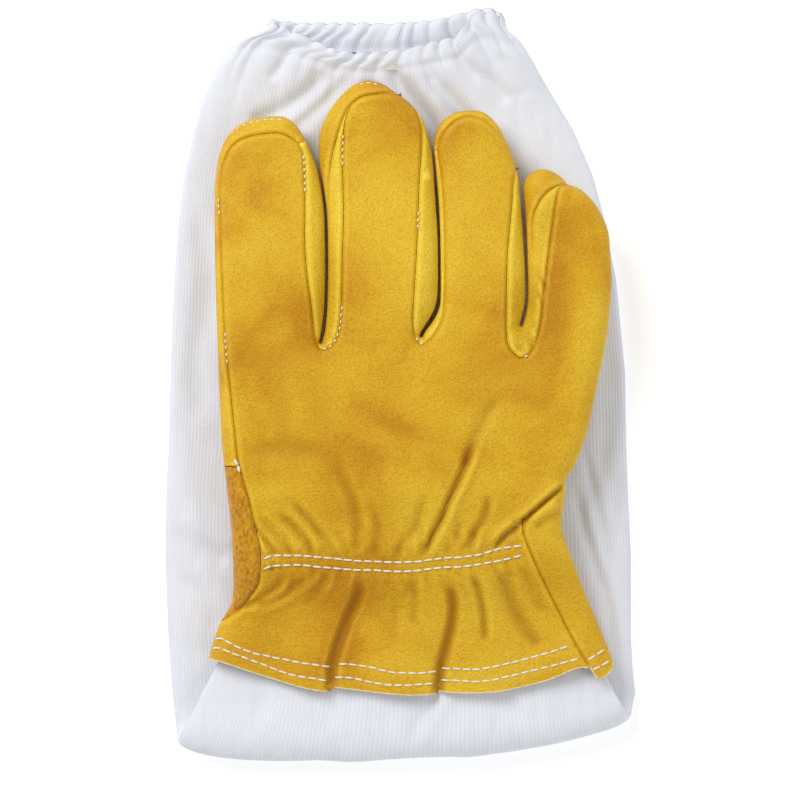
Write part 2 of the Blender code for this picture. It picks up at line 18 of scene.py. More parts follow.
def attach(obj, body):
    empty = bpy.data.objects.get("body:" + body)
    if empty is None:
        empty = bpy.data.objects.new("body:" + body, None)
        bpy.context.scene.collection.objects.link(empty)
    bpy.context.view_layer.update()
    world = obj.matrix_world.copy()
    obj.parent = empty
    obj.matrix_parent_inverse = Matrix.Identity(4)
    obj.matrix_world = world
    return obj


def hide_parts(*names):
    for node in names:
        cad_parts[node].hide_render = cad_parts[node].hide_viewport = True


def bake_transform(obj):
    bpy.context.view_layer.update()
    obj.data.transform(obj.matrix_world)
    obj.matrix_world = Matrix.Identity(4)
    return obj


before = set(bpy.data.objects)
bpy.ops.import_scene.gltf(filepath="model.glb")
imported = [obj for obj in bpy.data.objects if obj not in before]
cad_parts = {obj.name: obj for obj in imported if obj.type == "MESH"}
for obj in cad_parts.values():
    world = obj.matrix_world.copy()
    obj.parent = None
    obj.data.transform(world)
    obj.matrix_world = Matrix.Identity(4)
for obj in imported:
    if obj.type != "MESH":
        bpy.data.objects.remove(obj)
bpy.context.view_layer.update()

MM = 0.001
LEATHER_THICK = 1.0
THUMB_THICK = 0.9
SEAM_HALF_GAP = 0.08
RAW_WIDTH = 0.5

# Levels of the hand's bottom and top, as (y, bottom, top) from the hem to the fingertips.
LEVELS = (
    (-84.0, 9.8, 21.5),
    (-52.0, 18.7, 30.5),
    (-36.0, 18.7, 33.2),
    (31.0, 18.7, 33.2),
    (92.0, 10.0, 25.0),
)
SIDE_ROUND = 8.0
CUFF_ROUND = 6.0
CUFF_ROUND_Y = (-80.0, -45.0)
SIDE_POWER = 2.3

# Plan of the hand: the runs of its outline, clockwise from the hem on the left.
RUNS = {
    "cuff_left": ((-66.7, -95.4), (-64.9, -89.4), (-62.5, -82.4)),
    "suede_side": (
        (-62.5, -82.4), (-60.4, -79.3), (-58.3, -74.7), (-57.9, -66.0), (-58.1, -53.7), (-58.8, -45.0),
        (-60.7, -27.8),
    ),
    "index_left": ((-60.7, -27.8), (-61.8, -15.2), (-63.2, 19.8), (-64.0, 46.0), (-64.4, 68.8)),
    "index_tip": (
        (-64.4, 68.8), (-63.5, 77.5), (-62.1, 83.5), (-59.3, 88.7), (-55.5, 91.9), (-50.6, 94.0),
        (-44.3, 94.8), (-39.4, 94.3), (-35.5, 91.2), (-32.7, 86.3),
    ),
    "index_right": (
        (-32.7, 86.3), (-29.9, 80.3), (-27.9, 74.0), (-26.2, 63.5), (-25.6, 51.3), (-25.5, 37.3),
        (-25.9, 26.8), (-26.8, 19.5), (-27.6, 15.5),
    ),
    "middle_left": (
        (-26.6, 15.5), (-25.6, 19.5), (-24.9, 26.8), (-24.6, 37.3), (-24.7, 51.3), (-25.1, 61.0),
        (-26.4, 70.5),
    ),
    "middle_tip": (
        (-26.4, 70.5), (-27.5, 76.5), (-28.0, 82.8), (-27.5, 89.1), (-25.2, 95.0), (-22.0, 99.9),
        (-17.8, 104.3), (-14.0, 106.6), (-10.0, 107.3), (-5.4, 106.0), (-0.5, 102.7), (3.7, 99.6),
        (7.2, 95.7), (8.8, 92.8),
    ),
    "middle_right": (
        (8.8, 92.8), (10.8, 86.5), (12.0, 79.3), (12.5, 72.3), (13.0, 63.5), (13.7, 51.3), (13.7, 33.8),
        (12.6, 27.3), (10.4, 23.0), (8.5, 20.0), (7.4, 17.7),
    ),
    "ring_left": (
        (8.4, 17.7), (9.6, 19.8), (11.7, 22.5), (13.8, 26.6), (14.5, 31.5), (14.5, 51.3), (14.0, 63.5),
        (13.3, 72.3), (12.7, 79.3), (12.3, 83.5),
    ),
    "ring_tip": (
        (12.3, 83.5), (12.7, 88.0), (14.4, 92.0), (18.0, 95.2), (22.2, 96.7), (28.5, 96.6), (31.7, 94.8),
        (34.8, 91.5), (37.3, 87.0),
    ),
    "ring_right": (
        (37.3, 87.0), (39.4, 82.4), (41.1, 76.8), (42.0, 72.3), (42.8, 63.5), (43.5, 51.3), (44.1, 39.0),
        (44.1, 30.3), (43.1, 25.0), (42.2, 21.5),
    ),
    "little_left": (
        (43.2, 21.5), (44.2, 25.0), (45.0, 30.3), (45.0, 39.0), (44.7, 51.3), (44.2, 61.8), (43.6, 69.5),
    ),
    "little_tip": (
        (43.6, 69.5), (44.6, 72.8), (47.2, 75.3), (50.6, 76.2), (54.1, 75.2), (56.9, 73.3), (59.3, 70.7),
    ),
    "little_right": (
        (59.3, 70.7), (62.8, 69.5), (66.0, 67.0), (69.1, 63.2), (71.6, 58.6), (73.3, 53.4), (73.8, 46.0),
        (74.2, 37.3), (73.8, 30.3), (72.4, 16.3), (68.8, -1.2), (65.6, -15.9), (61.8, -26.4),
        (58.1, -32.7),
    ),
    "cuff_right": (
        (58.1, -32.7), (57.6, -39.7), (56.8, -46.4), (57.6, -52.0), (62.8, -66.0), (68.1, -78.9),
        (73.0, -90.5), (75.8, -98.2),
    ),
}
CROTCHES = ("index_right", "middle_right", "ring_right")
CROTCH_R = 0.5
HEM_RIGHT = ((67.0, -98.5), (61.8, -98.7), (51.3, -103.1), (35.5, -106.6), (23.3, -107.3), (14.2, -106.9))
HEM_MIDDLE = ((13.6, -107.7), (4.0, -108.0), (-8.2, -107.1), (-22.4, -105.3))
HEM_LEFT = ((-24.5, -106.9), (-34.5, -105.2), (-48.5, -101.0), (-60.7, -96.8), (-66.7, -95.4))
FOOT = ((75.8, -98.2), (72.8, -101.2), (69.5, -102.4))
HEM_UNDERSIDE = (
    (73.0, -98.6), (61.8, -98.7), (35.5, -106.0), (-8.2, -106.4), (-48.5, -100.4), (-62.0, -95.0),
)
PALM_SEAM_Y, PALM_SEAM_LEFT, PALM_SEAM_RIGHT = -46.0, -58.9, 56.8

# Seams and folded edges over the top of the hand.
SUEDE_SEAM = (
    (-62.5, -82.4), (-58.6, -80.0), (-54.8, -77.2), (-51.3, -72.6), (-48.8, -68.1), (-47.9, -60.7),
    (-48.5, -53.7), (-50.6, -45.0), (-52.7, -36.2), (-55.5, -28.0),
)
INDEX_LEFT_SEAM = (
    (-55.5, -28.0), (-56.9, -15.2), (-58.3, -1.2), (-59.7, 10.0), (-60.4, 19.8), (-61.4, 42.5),
    (-62.3, 60.0), (-62.5, 68.8), (-61.6, 76.5),
)
INDEX_TOP = (
    (-61.6, 76.5), (-59.3, 82.1), (-55.5, 85.9), (-49.9, 87.7), (-42.2, 88.4), (-38.0, 87.1), (-34.8, 84.9),
)
INDEX_RIGHT_SEAM = (
    (-34.8, 84.9), (-33.2, 81.0), (-32.7, 72.3), (-32.5, 60.0), (-32.5, 49.5), (-31.7, 39.0),
    (-30.3, 28.5), (-29.0, 18.0), (-27.3, 13.0),
)
MIDDLE_LEFT_SEAM = (
    (-27.3, 13.0), (-24.4, 13.4), (-22.0, 15.9), (-20.6, 20.5), (-19.8, 30.3), (-19.5, 44.3),
    (-19.1, 60.0), (-19.4, 72.3), (-19.5, 82.8), (-18.7, 92.9), (-16.6, 98.5),
)
MIDDLE_BORDER = (
    (-25.3, 64.0), (-24.5, 71.6), (-23.4, 79.3), (-21.9, 85.6), (-20.1, 91.5), (-18.4, 95.7), (-16.6, 98.5),
)
MIDDLE_TOP = ((-16.6, 98.5), (-13.1, 101.0), (-8.6, 102.0), (-3.7, 102.6), (0.6, 102.0))
MIDDLE_RIGHT_SEAM = (
    (6.4, 96.6), (8.0, 91.5), (8.2, 84.5), (7.3, 72.3), (6.8, 60.0), (6.3, 47.8), (5.6, 35.5),
    (5.0, 23.3), (5.8, 17.3), (7.9, 14.7),
)
RING_LEFT_SEAM = (
    (7.9, 14.7), (10.7, 16.3), (13.3, 19.8), (15.0, 24.7), (15.7, 37.3), (15.7, 54.8), (15.2, 67.0),
    (14.2, 76.5), (13.2, 82.6),
)
RING_TOP = (
    (13.2, 82.6), (14.4, 86.6), (16.8, 90.1), (20.1, 93.0), (23.6, 94.2), (27.5, 94.0), (31.3, 92.0),
    (34.8, 89.0), (37.6, 86.5),
)
RING_RIGHT_SEAM = (
    (41.2, 76.5), (40.0, 70.0), (39.7, 65.3), (38.7, 55.5), (37.8, 46.0), (37.4, 33.8), (37.4, 18.0),
    (38.7, 12.8), (41.8, 9.8),
)
LITTLE_LEFT_SEAM = (
    (41.8, 9.8), (44.6, 10.7), (47.4, 15.2), (49.2, 22.6), (50.0, 30.3), (51.3, 40.8), (52.7, 51.3),
    (54.1, 60.7), (55.8, 68.8), (59.3, 70.7),
)
LITTLE_BORDER = (
    (44.9, 44.0), (46.3, 49.9), (46.2, 54.8), (46.9, 59.3), (48.6, 63.5), (51.3, 67.2), (55.1, 69.7),
    (59.3, 70.7),
)
HAND_FOLD = ((58.1, -32.7), (51.3, -38.7), (43.0, -46.2))
CUFF_SEAM = (
    (43.0, -46.2), (43.4, -50.9), (45.3, -56.2), (49.5, -65.6), (56.5, -79.6), (61.8, -89.8), (67.0, -98.5),
)
CUFF_SEAM_FOOT = ((67.0, -98.5), (69.5, -102.4))

# Stitched rows: two that hold the wrist elastic, two along the hem, two across the cuff's foot.
WRIST_ROWS = (
    ((-47.1, -60.0), (-43.2, -58.7), (-34.5, -58.8), (-27.5, -59.3), (-17.0, -60.4), (-8.2, -60.9),
     (0.5, -61.1), (7.5, -60.7), (14.5, -59.7), (21.5, -59.3), (28.5, -58.3), (35.5, -56.2), (43.0, -55.3)),
    ((-47.1, -63.5), (-43.2, -62.3), (-34.5, -62.1), (-27.5, -62.8), (-17.0, -63.7), (-8.2, -64.0),
     (0.5, -64.4), (7.5, -63.9), (14.5, -63.0), (21.5, -62.7), (28.5, -61.8), (35.5, -60.4), (44.6, -58.3)),
)
HEM_ROWS = (
    ((-64.2, -88.4), (-61.8, -88.2), (-57.2, -90.5), (-50.2, -93.3), (-41.5, -95.2), (-34.5, -96.4),
     (-22.6, -98.3)),
    ((-21.2, -97.1), (-17.0, -97.1), (-10.0, -98.2), (-1.2, -99.9), (7.5, -100.1), (13.4, -99.6)),
    ((15.0, -98.5), (25.0, -98.9), (32.0, -98.2), (42.5, -95.7), (53.0, -92.9), (61.4, -89.9)),
    ((-65.0, -91.6), (-62.5, -91.5), (-57.2, -93.6), (-50.2, -96.1), (-41.5, -99.6), (-34.5, -101.3),
     (-23.8, -103.0)),
    ((-22.6, -101.7), (-17.0, -101.9), (-10.0, -103.4), (-1.2, -104.3), (7.5, -104.1), (13.4, -103.6)),
    ((15.0, -102.6), (25.0, -103.1), (32.0, -102.7), (42.5, -100.3), (53.0, -97.8), (64.0, -94.7)),
    ((66.3, -95.4), (70.0, -93.2), (73.2, -90.8)),
    ((67.6, -99.1), (71.5, -97.2), (74.6, -95.4)),
)
# Runs where the seam thread shows as dots, and the two long stitches at the suede's top.
SEAM_DOTS = (
    ((-33.2, 81.0), (-32.7, 72.3), (-32.6, 66.0)),
    ((-19.4, 88.0), (-19.5, 82.8), (-19.4, 76.0)),
    ((-19.6, 28.0), (-20.4, 20.5), (-22.0, 15.9), (-24.4, 13.4), (-27.3, 13.0)),
    ((-62.7, 66.0), (-62.5, 61.0), (-62.1, 57.5)),
    ((-60.0, 19.0), (-59.8, 13.0), (-59.3, 7.0)),
    ((5.8, 17.3), (7.9, 14.7), (10.2, 15.8)),
    ((43.2, 10.0), (44.8, 10.9), (45.6, 12.2)),
    ((6.9, 61.0), (6.7, 57.0), (6.5, 53.0)),
)
INDEX_RIM_ROW = ((-59.0, 88.0), (-55.5, 90.6), (-50.0, 92.4), (-43.5, 93.4), (-39.5, 92.6))
MIDDLE_RIM_ROW = ((-14.0, 105.4), (-10.0, 106.0), (-6.2, 105.0))
SIDE_STITCHES = (
    ((-56.8, -25.4), (-55.6, -27.4)),
    ((-55.6, -27.6), (-55.0, -30.0)),
    ((-60.4, -27.2), (-59.3, -28.4)),
)

# Creases: points, depth, half width, and the height of the shoulder on the left of the line.
CREASES = (
    (((-56.0, -22.8), (-44.0, -21.6), (-31.0, -22.0), (-24.0, -25.0), (-19.0, -32.7)), 0.75, 3.0, 0.1),
    (((-22.0, -27.0), (-18.2, -34.5), (-15.6, -41.0), (-14.5, -48.0), (-15.2, -58.8)), 1.0, 1.7, 0.3),
    (((-38.0, -38.7), (-31.0, -46.7), (-25.7, -53.7), (-23.6, -59.3)), 0.9, 1.3, 0.35),
    (((-43.2, -43.2), (-36.2, -48.5), (-31.7, -53.7), (-29.9, -59.0)), 0.9, 1.2, 0.35),
    (((-49.2, -45.0), (-43.2, -50.2), (-39.0, -55.5), (-37.3, -59.3)), 0.7, 1.1, 0.3),
    (((-47.8, -52.0), (-44.3, -56.2), (-41.5, -59.7)), 0.6, 0.9, 0.2),
    (((-9.3, -41.0), (-7.2, -50.2), (-8.4, -59.5)), 0.8, 1.3, 0.2),
    (((9.6, -36.0), (5.8, -48.5), (0.5, -56.5), (-0.5, -60.7)), 0.7, 1.6, 0.2),
    (((35.5, -2.0), (30.3, -10.0), (25.0, -20.5), (22.2, -29.2)), 0.8, 2.4, 0.3),
    (((26.5, -17.0), (22.2, -29.2), (18.0, -38.0), (14.5, -46.7), (11.0, -53.7),
      (7.9, -60.0)), 1.9, 1.15, 0.9),
    (((31.3, -36.0), (29.9, -45.0), (25.7, -52.0), (22.6, -58.0)), 1.2, 1.3, 0.4),
    (((22.5, -46.0), (19.5, -53.0), (17.0, -58.5)), 0.7, 1.1, 0.2),
    (((30.5, -58.0), (35.5, -53.2), (40.0, -49.0), (43.4, -46.4), (51.6, -39.1),
      (58.6, -33.2)), 1.5, 1.0, 1.3),
    (((-39.7, -64.2), (-42.2, -69.5), (-47.8, -73.7), (-55.0, -77.6)), 1.1, 1.1, 0.5),
    (((-31.0, -65.0), (-35.5, -69.5), (-41.5, -74.0), (-49.5, -77.5)), 0.9, 1.1, 0.4),
    (((-24.5, -65.0), (-27.5, -71.0), (-33.0, -77.0)), 0.5, 1.2, 0.2),
    (((-12.6, -65.0), (-14.2, -73.0), (-18.0, -81.7), (-21.2, -90.5), (-23.4, -98.5),
      (-24.0, -106.6)), 2.1, 1.7, 0.0),
    (((5.1, -66.0), (5.6, -74.7), (5.1, -84.0)), 0.7, 1.3, 0.1),
    (((-2.0, -66.0), (-1.2, -76.0), (-1.6, -88.0)), 0.5, 1.8, 0.1),
    (((17.0, -66.0), (18.9, -74.7), (18.7, -81.7), (16.8, -90.5), (14.7, -98.5),
      (13.9, -107.2)), 2.1, 1.7, 0.0),
    (((25.0, -64.2), (27.8, -71.2), (29.6, -79.0), (30.2, -90.0)), 1.3, 1.2, 0.3),
    (((35.5, -62.5), (39.0, -74.7), (44.3, -84.5), (50.5, -92.0)), 1.1, 2.6, 0.2),
    (((42.5, -60.5), (46.0, -70.0), (51.0, -80.0)), 0.6, 1.8, 0.2),
    (((46.0, -50.0), (51.0, -46.5), (57.0, -43.2)), 0.8, 1.5, 0.5),
    (((-24.5, 18.3), (-22.5, 17.4), (-21.0, 16.6)), 0.5, 0.6, 0.2),
    (((47.8, 39.5), (50.0, 36.5), (51.2, 34.2)), 0.45, 0.7, 0.2),
    (((47.5, 33.0), (49.3, 30.4), (49.9, 28.8)), 0.4, 0.6, 0.2),
    (((43.6, 20.0), (45.2, 16.3), (47.0, 14.0)), 0.8, 0.7, 0.3),
    (((42.8, 20.5), (41.8, 16.0), (41.2, 14.2), (42.2, 12.2)), 1.0, 0.6, 0.3),
    (((-62.0, -79.5), (-58.0, -78.6), (-55.0, -76.8)), 0.9, 0.8, 0.3),
)
GATHER_COUNT = 40
GATHER_UP, GATHER_DOWN = (4.0, 16.0), (4.0, 13.0)
CREASE_GAIN = 1.3
CREASE_STEP = 3.0
CREASE_START_FADE, CREASE_END_FADE = 0.22, 0.12
WRIST_MIDDLE_X, FAN_DEG = 2.0, 38.0
ROW_SINK = 0.5

# Thumb under the palm.
THUMB_BASE = (-43.0, -33.5)
THUMB_AIM_DEG = 50.0
THUMB_BASE_R, THUMB_TIP_R, THUMB_REACH = 16.3, 12.8, 47.0
THUMB_LOW, THUMB_HIGH = 9.6, 18.1
THUMB_ROUND = 7.0

# Sleeve: (nominal y, left, right) of its long part and of its short part above the fold.
LONG_SIDES = (
    (-132.0, -78.2, 82.2), (-117.0, -79.6, 84.0), (-89.0, -81.7, 82.4), (-60.0, -82.8, 82.4),
    (-34.0, -82.4, 81.2), (-18.0, -81.4, 80.7), (5.0, -81.0, 80.4), (38.0, -79.6, 77.2), (61.0, -78.0, 72.6),
    (75.0, -76.0, 68.8), (91.5, -72.6, 61.8), (100.0, -70.2, 56.7), (109.0, -67.0, 51.4),
    (115.0, -64.2, 48.2),
    (120.6, -60.8, 44.8), (124.0, -57.0, 42.2), (125.8, -51.6, 39.4), (127.2, -48.6, 38.2),
    (130.0, -46.6, 37.8),
)
STUB_SIDES = ((-132.0, -78.0, 80.4), (-108.0, -69.4, 75.0), (-97.0, -63.5, 70.5), (-86.0, -60.5, 66.0))
FOLD_Z, FOLD_TURN_Y, FOLD_REACH = 10.0, -110.0, 22.1
FOLD_LINE = (
    (-80.0, 0.6), (-55.0, -0.6), (-20.0, -0.8), (5.0, 0.2), (25.0, 0.8), (42.0, 3.2), (60.0, 6.2),
    (84.0, 9.6),
)
PLY_HEIGHT = 8.4
MOUTH_TOP = 12.6
MOUTH_Y = 130.0
UPPER_EDGE = (
    (-47.0, 128.0), (-41.0, 126.6), (-35.5, 123.9), (-29.0, 121.3), (-22.2, 118.0), (-13.5, 116.8),
    (-4.7, 117.4), (4.0, 118.5), (11.0, 120.6), (19.8, 122.6), (24.0, 127.0), (27.0, 131.0),
    (33.0, 132.0), (38.0, 129.0),
)
LOWER_EDGE = (
    (-47.0, 128.0), (-44.5, 129.8), (-34.0, 129.0), (-10.0, 128.9), (0.5, 129.0), (14.5, 130.2),
    (22.0, 132.3), (27.0, 134.0), (33.5, 134.0), (36.6, 131.8), (38.0, 129.0),
)
PLEATS = 31
CASING_DEPTH, CASING_THICK = 10.5, 1.7
MOUTH_RUN = 62.0
SLEEVE_CREASES = (
    (((-24.0, 115.0), (-30.0, 106.0), (-40.0, 98.5), (-53.0, 92.0)), 2.2, 3.2, 0.8),
    (((-17.0, 113.0), (-20.5, 106.0), (-29.0, 98.0), (-40.0, 88.0)), 1.4, 2.6, 0.6),
    (((-36.0, 122.0), (-40.0, 115.0), (-46.0, 108.0)), 0.9, 1.8, 0.3),
    (((-3.7, 116.0), (-1.2, 109.0), (4.0, 102.0), (12.0, 92.0), (15.0, 84.0)), 2.6, 2.6, 0.9),
    (((10.0, 117.0), (12.8, 107.3), (18.0, 102.0), (25.0, 94.0), (34.0, 84.0)), 1.6, 2.4, 0.7),
    (((19.0, 119.0), (24.0, 112.5), (32.0, 108.0), (40.0, 100.0)), 1.2, 2.4, 0.4),
    (((34.0, 118.0), (40.0, 112.0), (46.0, 102.0)), 0.8, 2.6, 0.3),
    (((-82.0, -50.0), (-72.0, -56.0), (-60.0, -62.0)), 1.2, 3.4, 0.9),
    (((-78.0, -66.0), (-70.0, -74.0), (-63.0, -86.0)), 1.1, 3.2, 0.6),
    (((-74.0, 66.0), (-69.0, 50.0), (-68.0, 30.0), (-72.0, 6.0), (-68.0, -14.0)), 1.4, 4.2, 0.9),
    (((62.0, -34.0), (66.0, -52.0), (73.0, -74.0), (78.0, -96.0)), 1.3, 1.8, 0.8),
    (((65.0, -20.0), (70.0, -42.0), (76.0, -66.0)), 0.9, 1.5, 0.6),
    (((74.0, 20.0), (75.0, -10.0), (70.0, -36.0)), 0.9, 3.6, 0.4),
)
STUB_CREASES = (
    (((14.0, -104.0), (8.0, -117.0), (0.0, -131.0)), 1.0, 2.2, 0.7),
    (((-42.0, -104.0), (-52.0, -118.0), (-60.0, -131.0)), 0.5, 3.0, 0.3),
    (((33.0, -106.0), (39.0, -113.0), (44.0, -120.0)), 0.8, 2.2, 0.5),
    (((60.0, -100.0), (66.0, -112.0), (70.0, -122.0)), 0.5, 2.6, 0.3),
    (((-20.0, -108.0), (-26.0, -120.0)), 0.5, 3.0, 0.3),
)
RIB_MM = 1.5
WEAVE_WIDTH = 330.0

EDGE_STEP = 1.2
GRID_STEP = 1.35
RINGS = (0.12, 0.42, 0.9, 1.6, 2.5)
UNDER_STEP = 2.4
SLEEVE_COLUMNS = 300


def smoothstep(value, low, high):
    share = np.clip((value - low) / (high - low), 0.0, 1.0)
    return share * share * (3 - 2 * share)


NOISE_SEED, NOISE_COUNT = 11, 4096
TABLE = np.random.default_rng(NOISE_SEED).random(NOISE_COUNT) * 2 - 1


def lumps(x, y, size, seed):
    """Smooth noise from -1 to 1 over the plan, its bumps about a size apart."""
    gx, gy = np.asarray(x, float) / size, np.asarray(y, float) / size
    ix, iy = np.floor(gx).astype(int), np.floor(gy).astype(int)
    fx, fy = gx - ix, gy - iy
    fx, fy = fx * fx * (3 - 2 * fx), fy * fy * (3 - 2 * fy)

    def corner(dx, dy):
        return TABLE[((ix + dx) * 73 + (iy + dy) * 179 + seed * 397) & (NOISE_COUNT - 1)]

    low = corner(0, 0) * (1 - fx) + corner(1, 0) * fx
    high = corner(0, 1) * (1 - fx) + corner(1, 1) * fx
    return low * (1 - fy) + high * fy


def through(points, step):
    """Points about a step apart on a smooth curve through the given ones."""
    knots = np.array(points, float)
    if len(knots) == 2:
        return even(knots, step)
    knots = np.vstack([2 * knots[0] - knots[1], knots, 2 * knots[-1] - knots[-2]])
    fine = []
    for a, b, c, d in zip(knots, knots[1:], knots[2:], knots[3:]):
        for t in np.linspace(0, 1, 12, endpoint=False):
            fine.append(0.5 * (2 * b + (c - a) * t + (2 * a - 5 * b + 4 * c - d) * t**2
                               + (3 * b - 3 * c + d - a) * t**3))
    fine.append(knots[-2])
    return even(np.array(fine), step)


def even(path, step):
    """The path resampled at even distances of about a step, with both ends kept."""
    lengths = np.concatenate([[0], np.cumsum(np.linalg.norm(np.diff(path, axis=0), axis=1))])
    count = max(2, int(round(lengths[-1] / step)) + 1)
    at = np.linspace(0, lengths[-1], count)
    return np.column_stack([np.interp(at, lengths, path[:, k]) for k in range(path.shape[1])])


def whole_outline():
    """The hand's outline from hem to hem, with a small round turn at each crotch."""
    parts = []
    names = list(RUNS)
    for name, after in zip(names, names[1:] + [None]):
        path = through(RUNS[name], EDGE_STEP)
        parts.append(path[:-1] if after else path)
        if name in CROTCHES:
            left, right = path[-1], np.array(RUNS[after][0])
            centre = (left + right) / 2
            turn = [(centre[0] - CROTCH_R * math.cos(a), centre[1] - CROTCH_R * math.sin(a))
                    for a in np.linspace(0.2, math.pi - 0.2, 5)]
            parts.extend([path[-1:], np.array(turn)])
    return np.vstack(parts)


OUTLINE = whole_outline()


def inward(path):
    """Unit normals on the right of a walk along the path."""
    tangents = np.gradient(path, axis=0)
    tangents /= np.maximum(np.linalg.norm(tangents, axis=1), 1e-9)[:, None]
    return np.column_stack([tangents[:, 1], -tangents[:, 0]])


OUTLINE_NORMALS = inward(OUTLINE)


def path_distance(points, path):
    """Distance in plan from each point to a path of evenly spaced points."""
    tree = kdtree.KDTree(len(path))
    for index, place in enumerate(path):
        tree.insert((place[0], place[1], 0.0), index)
    tree.balance()
    near = np.array([tree.find((x, y, 0.0))[1] for x, y in points], int)
    nearest = np.full(len(points), np.inf)
    for shift in (-1, 0):
        start = path[np.clip(near + shift, 0, len(path) - 2)]
        run = path[np.clip(near + shift, 0, len(path) - 2) + 1] - start
        share = np.clip(((points - start) * run).sum(axis=1) / np.maximum((run**2).sum(axis=1), 1e-9), 0, 1)
        away = points - start - share[:, None] * run
        nearest = np.minimum(nearest, (away**2).sum(axis=1))
    return np.sqrt(nearest)


def side_of(points, path):
    """(signed distance, share of the way along) of each point from a path. The left of it is positive."""
    lengths = np.concatenate([[0], np.cumsum(np.linalg.norm(np.diff(path, axis=0), axis=1))])
    best = np.full(len(points), np.inf)
    signed, along = np.zeros(len(points)), np.zeros(len(points))
    for k, (start, end) in enumerate(zip(path, path[1:])):
        run = end - start
        size = max(np.linalg.norm(run), 1e-9)
        share = ((points - start) @ run) / size**2
        inside_run = np.clip(share, 0, 1)
        away = points - start - inside_run[:, None] * run
        distance = np.linalg.norm(away, axis=1)
        cross = (run[0] * away[:, 1] - run[1] * away[:, 0]) / size
        near = distance < best
        best = np.where(near, distance, best)
        signed = np.where(near, np.where(cross >= 0, distance, -distance), signed)
        along = np.where(near, (lengths[k] + inside_run * size) / lengths[-1], along)
    return signed, along


def ease(y, knots, values):
    """Smooth steps from each value to the next, level at every knot."""
    result = np.full(np.shape(y), values[0], float)
    for low, high, start, end in zip(knots, knots[1:], values, values[1:]):
        result = result + (end - start) * smoothstep(y, low, high)
    return result


def levels(y):
    """(middle level, half thickness, radius of the rounded side) of the hand at each y."""
    table = np.array(LEVELS)
    bottom, top = (ease(y, table[:, 0], table[:, k]) for k in (1, 2))
    rounding = CUFF_ROUND + (SIDE_ROUND - CUFF_ROUND) * smoothstep(y, *CUFF_ROUND_Y)
    return (bottom + top) / 2, (top - bottom) / 2, rounding


def crease_relief(points, creases):
    """Height of each point from a set of creases, each a valley with a shoulder on its left.

    A crease without a shoulder runs out over an edge, so its end doesn't fade."""
    height = np.zeros(len(points))
    for line, depth, width, shoulder in creases:
        path = through(line, CREASE_STEP)
        low, high = path.min(axis=0) - 6 * width, path.max(axis=0) + 6 * width
        near = np.nonzero(((points > low) & (points < high)).all(axis=1))[0]
        if not len(near):
            continue
        signed, along = side_of(points[near], path)
        fade = smoothstep(along, 0.0, CREASE_START_FADE)
        if shoulder > 0.0:
            fade = fade * smoothstep(1 - along, 0.0, CREASE_END_FADE)
        valley = depth * np.exp(-((signed / width) ** 2))
        raised = shoulder * np.exp(-(((signed - 2.1 * width) / (1.5 * width)) ** 2))
        height[near] += fade * (raised - valley)
    return height


def gathers():
    """Creases that fan out from the wrist's stitched rows."""
    draw = np.random.default_rng(5)
    upper, lower = (through(row, 1.0) for row in WRIST_ROWS)
    made = []
    for k in range(GATHER_COUNT):
        share = (k + draw.uniform(0.15, 0.85)) / GATHER_COUNT
        for row, way, reach in ((upper, 1, GATHER_UP), (lower, -1, GATHER_DOWN)):
            x, y = row[int(share * (len(row) - 1))]
            lean = math.radians(FAN_DEG) * (x - WRIST_MIDDLE_X) / 50 + draw.uniform(-0.12, 0.12)
            long = draw.uniform(*reach) * (0.55 if way < 0 and abs(x) > 35 else 1.0)
            bend = draw.uniform(-0.25, 0.25)
            points = [(x + t * long * math.sin(lean + bend * t),
                       y + way * t * long * math.cos(lean + bend * t))
                      for t in (0.0, 0.4, 0.75, 1.0)]
            depth = draw.uniform(0.28, 0.62)
            width = draw.uniform(0.5, 0.95)
            made.append((points[::-1], depth, width, draw.uniform(0.05, 0.25)))
    return tuple(made)


GATHERS = gathers()


def fold_relief(points):
    """Height from the creases and the gathers. The leather also paints shade into its colour where they
    sink.
    """
    return CREASE_GAIN * (crease_relief(points, CREASES) + crease_relief(points, GATHERS))


def top_relief(points, folds):
    """Height of creases, gathers, stitched rows and the soft unevenness over the top of the hand."""
    x, y = points.T
    height = 0.55 * lumps(x, y, 26, 1) + 0.22 * lumps(x, y, 9, 2) + 0.06 * lumps(x, y, 3.2, 3)
    height += 0.08 * lumps(x * 0.35, y, 1.6, 4) + folds
    for row in WRIST_ROWS:
        away = path_distance(points, through(row, 2.0))
        height -= ROW_SINK * np.exp(-((away / 0.7) ** 2))
    middle = (np.interp(x, *np.array(WRIST_ROWS[0]).T) + np.interp(x, *np.array(WRIST_ROWS[1]).T)) / 2
    across = smoothstep(x, -49, -46) * smoothstep(-x, -46, -42)
    pucker = np.sin(x * 1.9 + 1.6 * lumps(x, y * 0.2, 6, 7)) * np.exp(-(((y - middle) / 3.4) ** 4))
    height += across * (0.42 * pucker - 0.7 * np.exp(-(((y - middle) / 5.0) ** 2)))
    for row in HEM_ROWS:
        near = np.abs(y - np.mean([p[1] for p in row])) < 16
        away = path_distance(points[near], through(row, 3.0))
        height[near] -= 0.28 * np.exp(-((away / 0.6) ** 2))
    wave = np.sin(x * 0.21 + 1.1) * 0.8 + 0.5 * lumps(x, y * 0.3, 9, 9)
    return height + wave * smoothstep(-y, 74, 104)


def side_rise(away, rounding):
    """Share of its full thickness that the hand has at a distance in from its outline."""
    share = np.clip(away / rounding, 0, 1)
    return (1 - (1 - share) ** SIDE_POWER) ** (1 / SIDE_POWER)


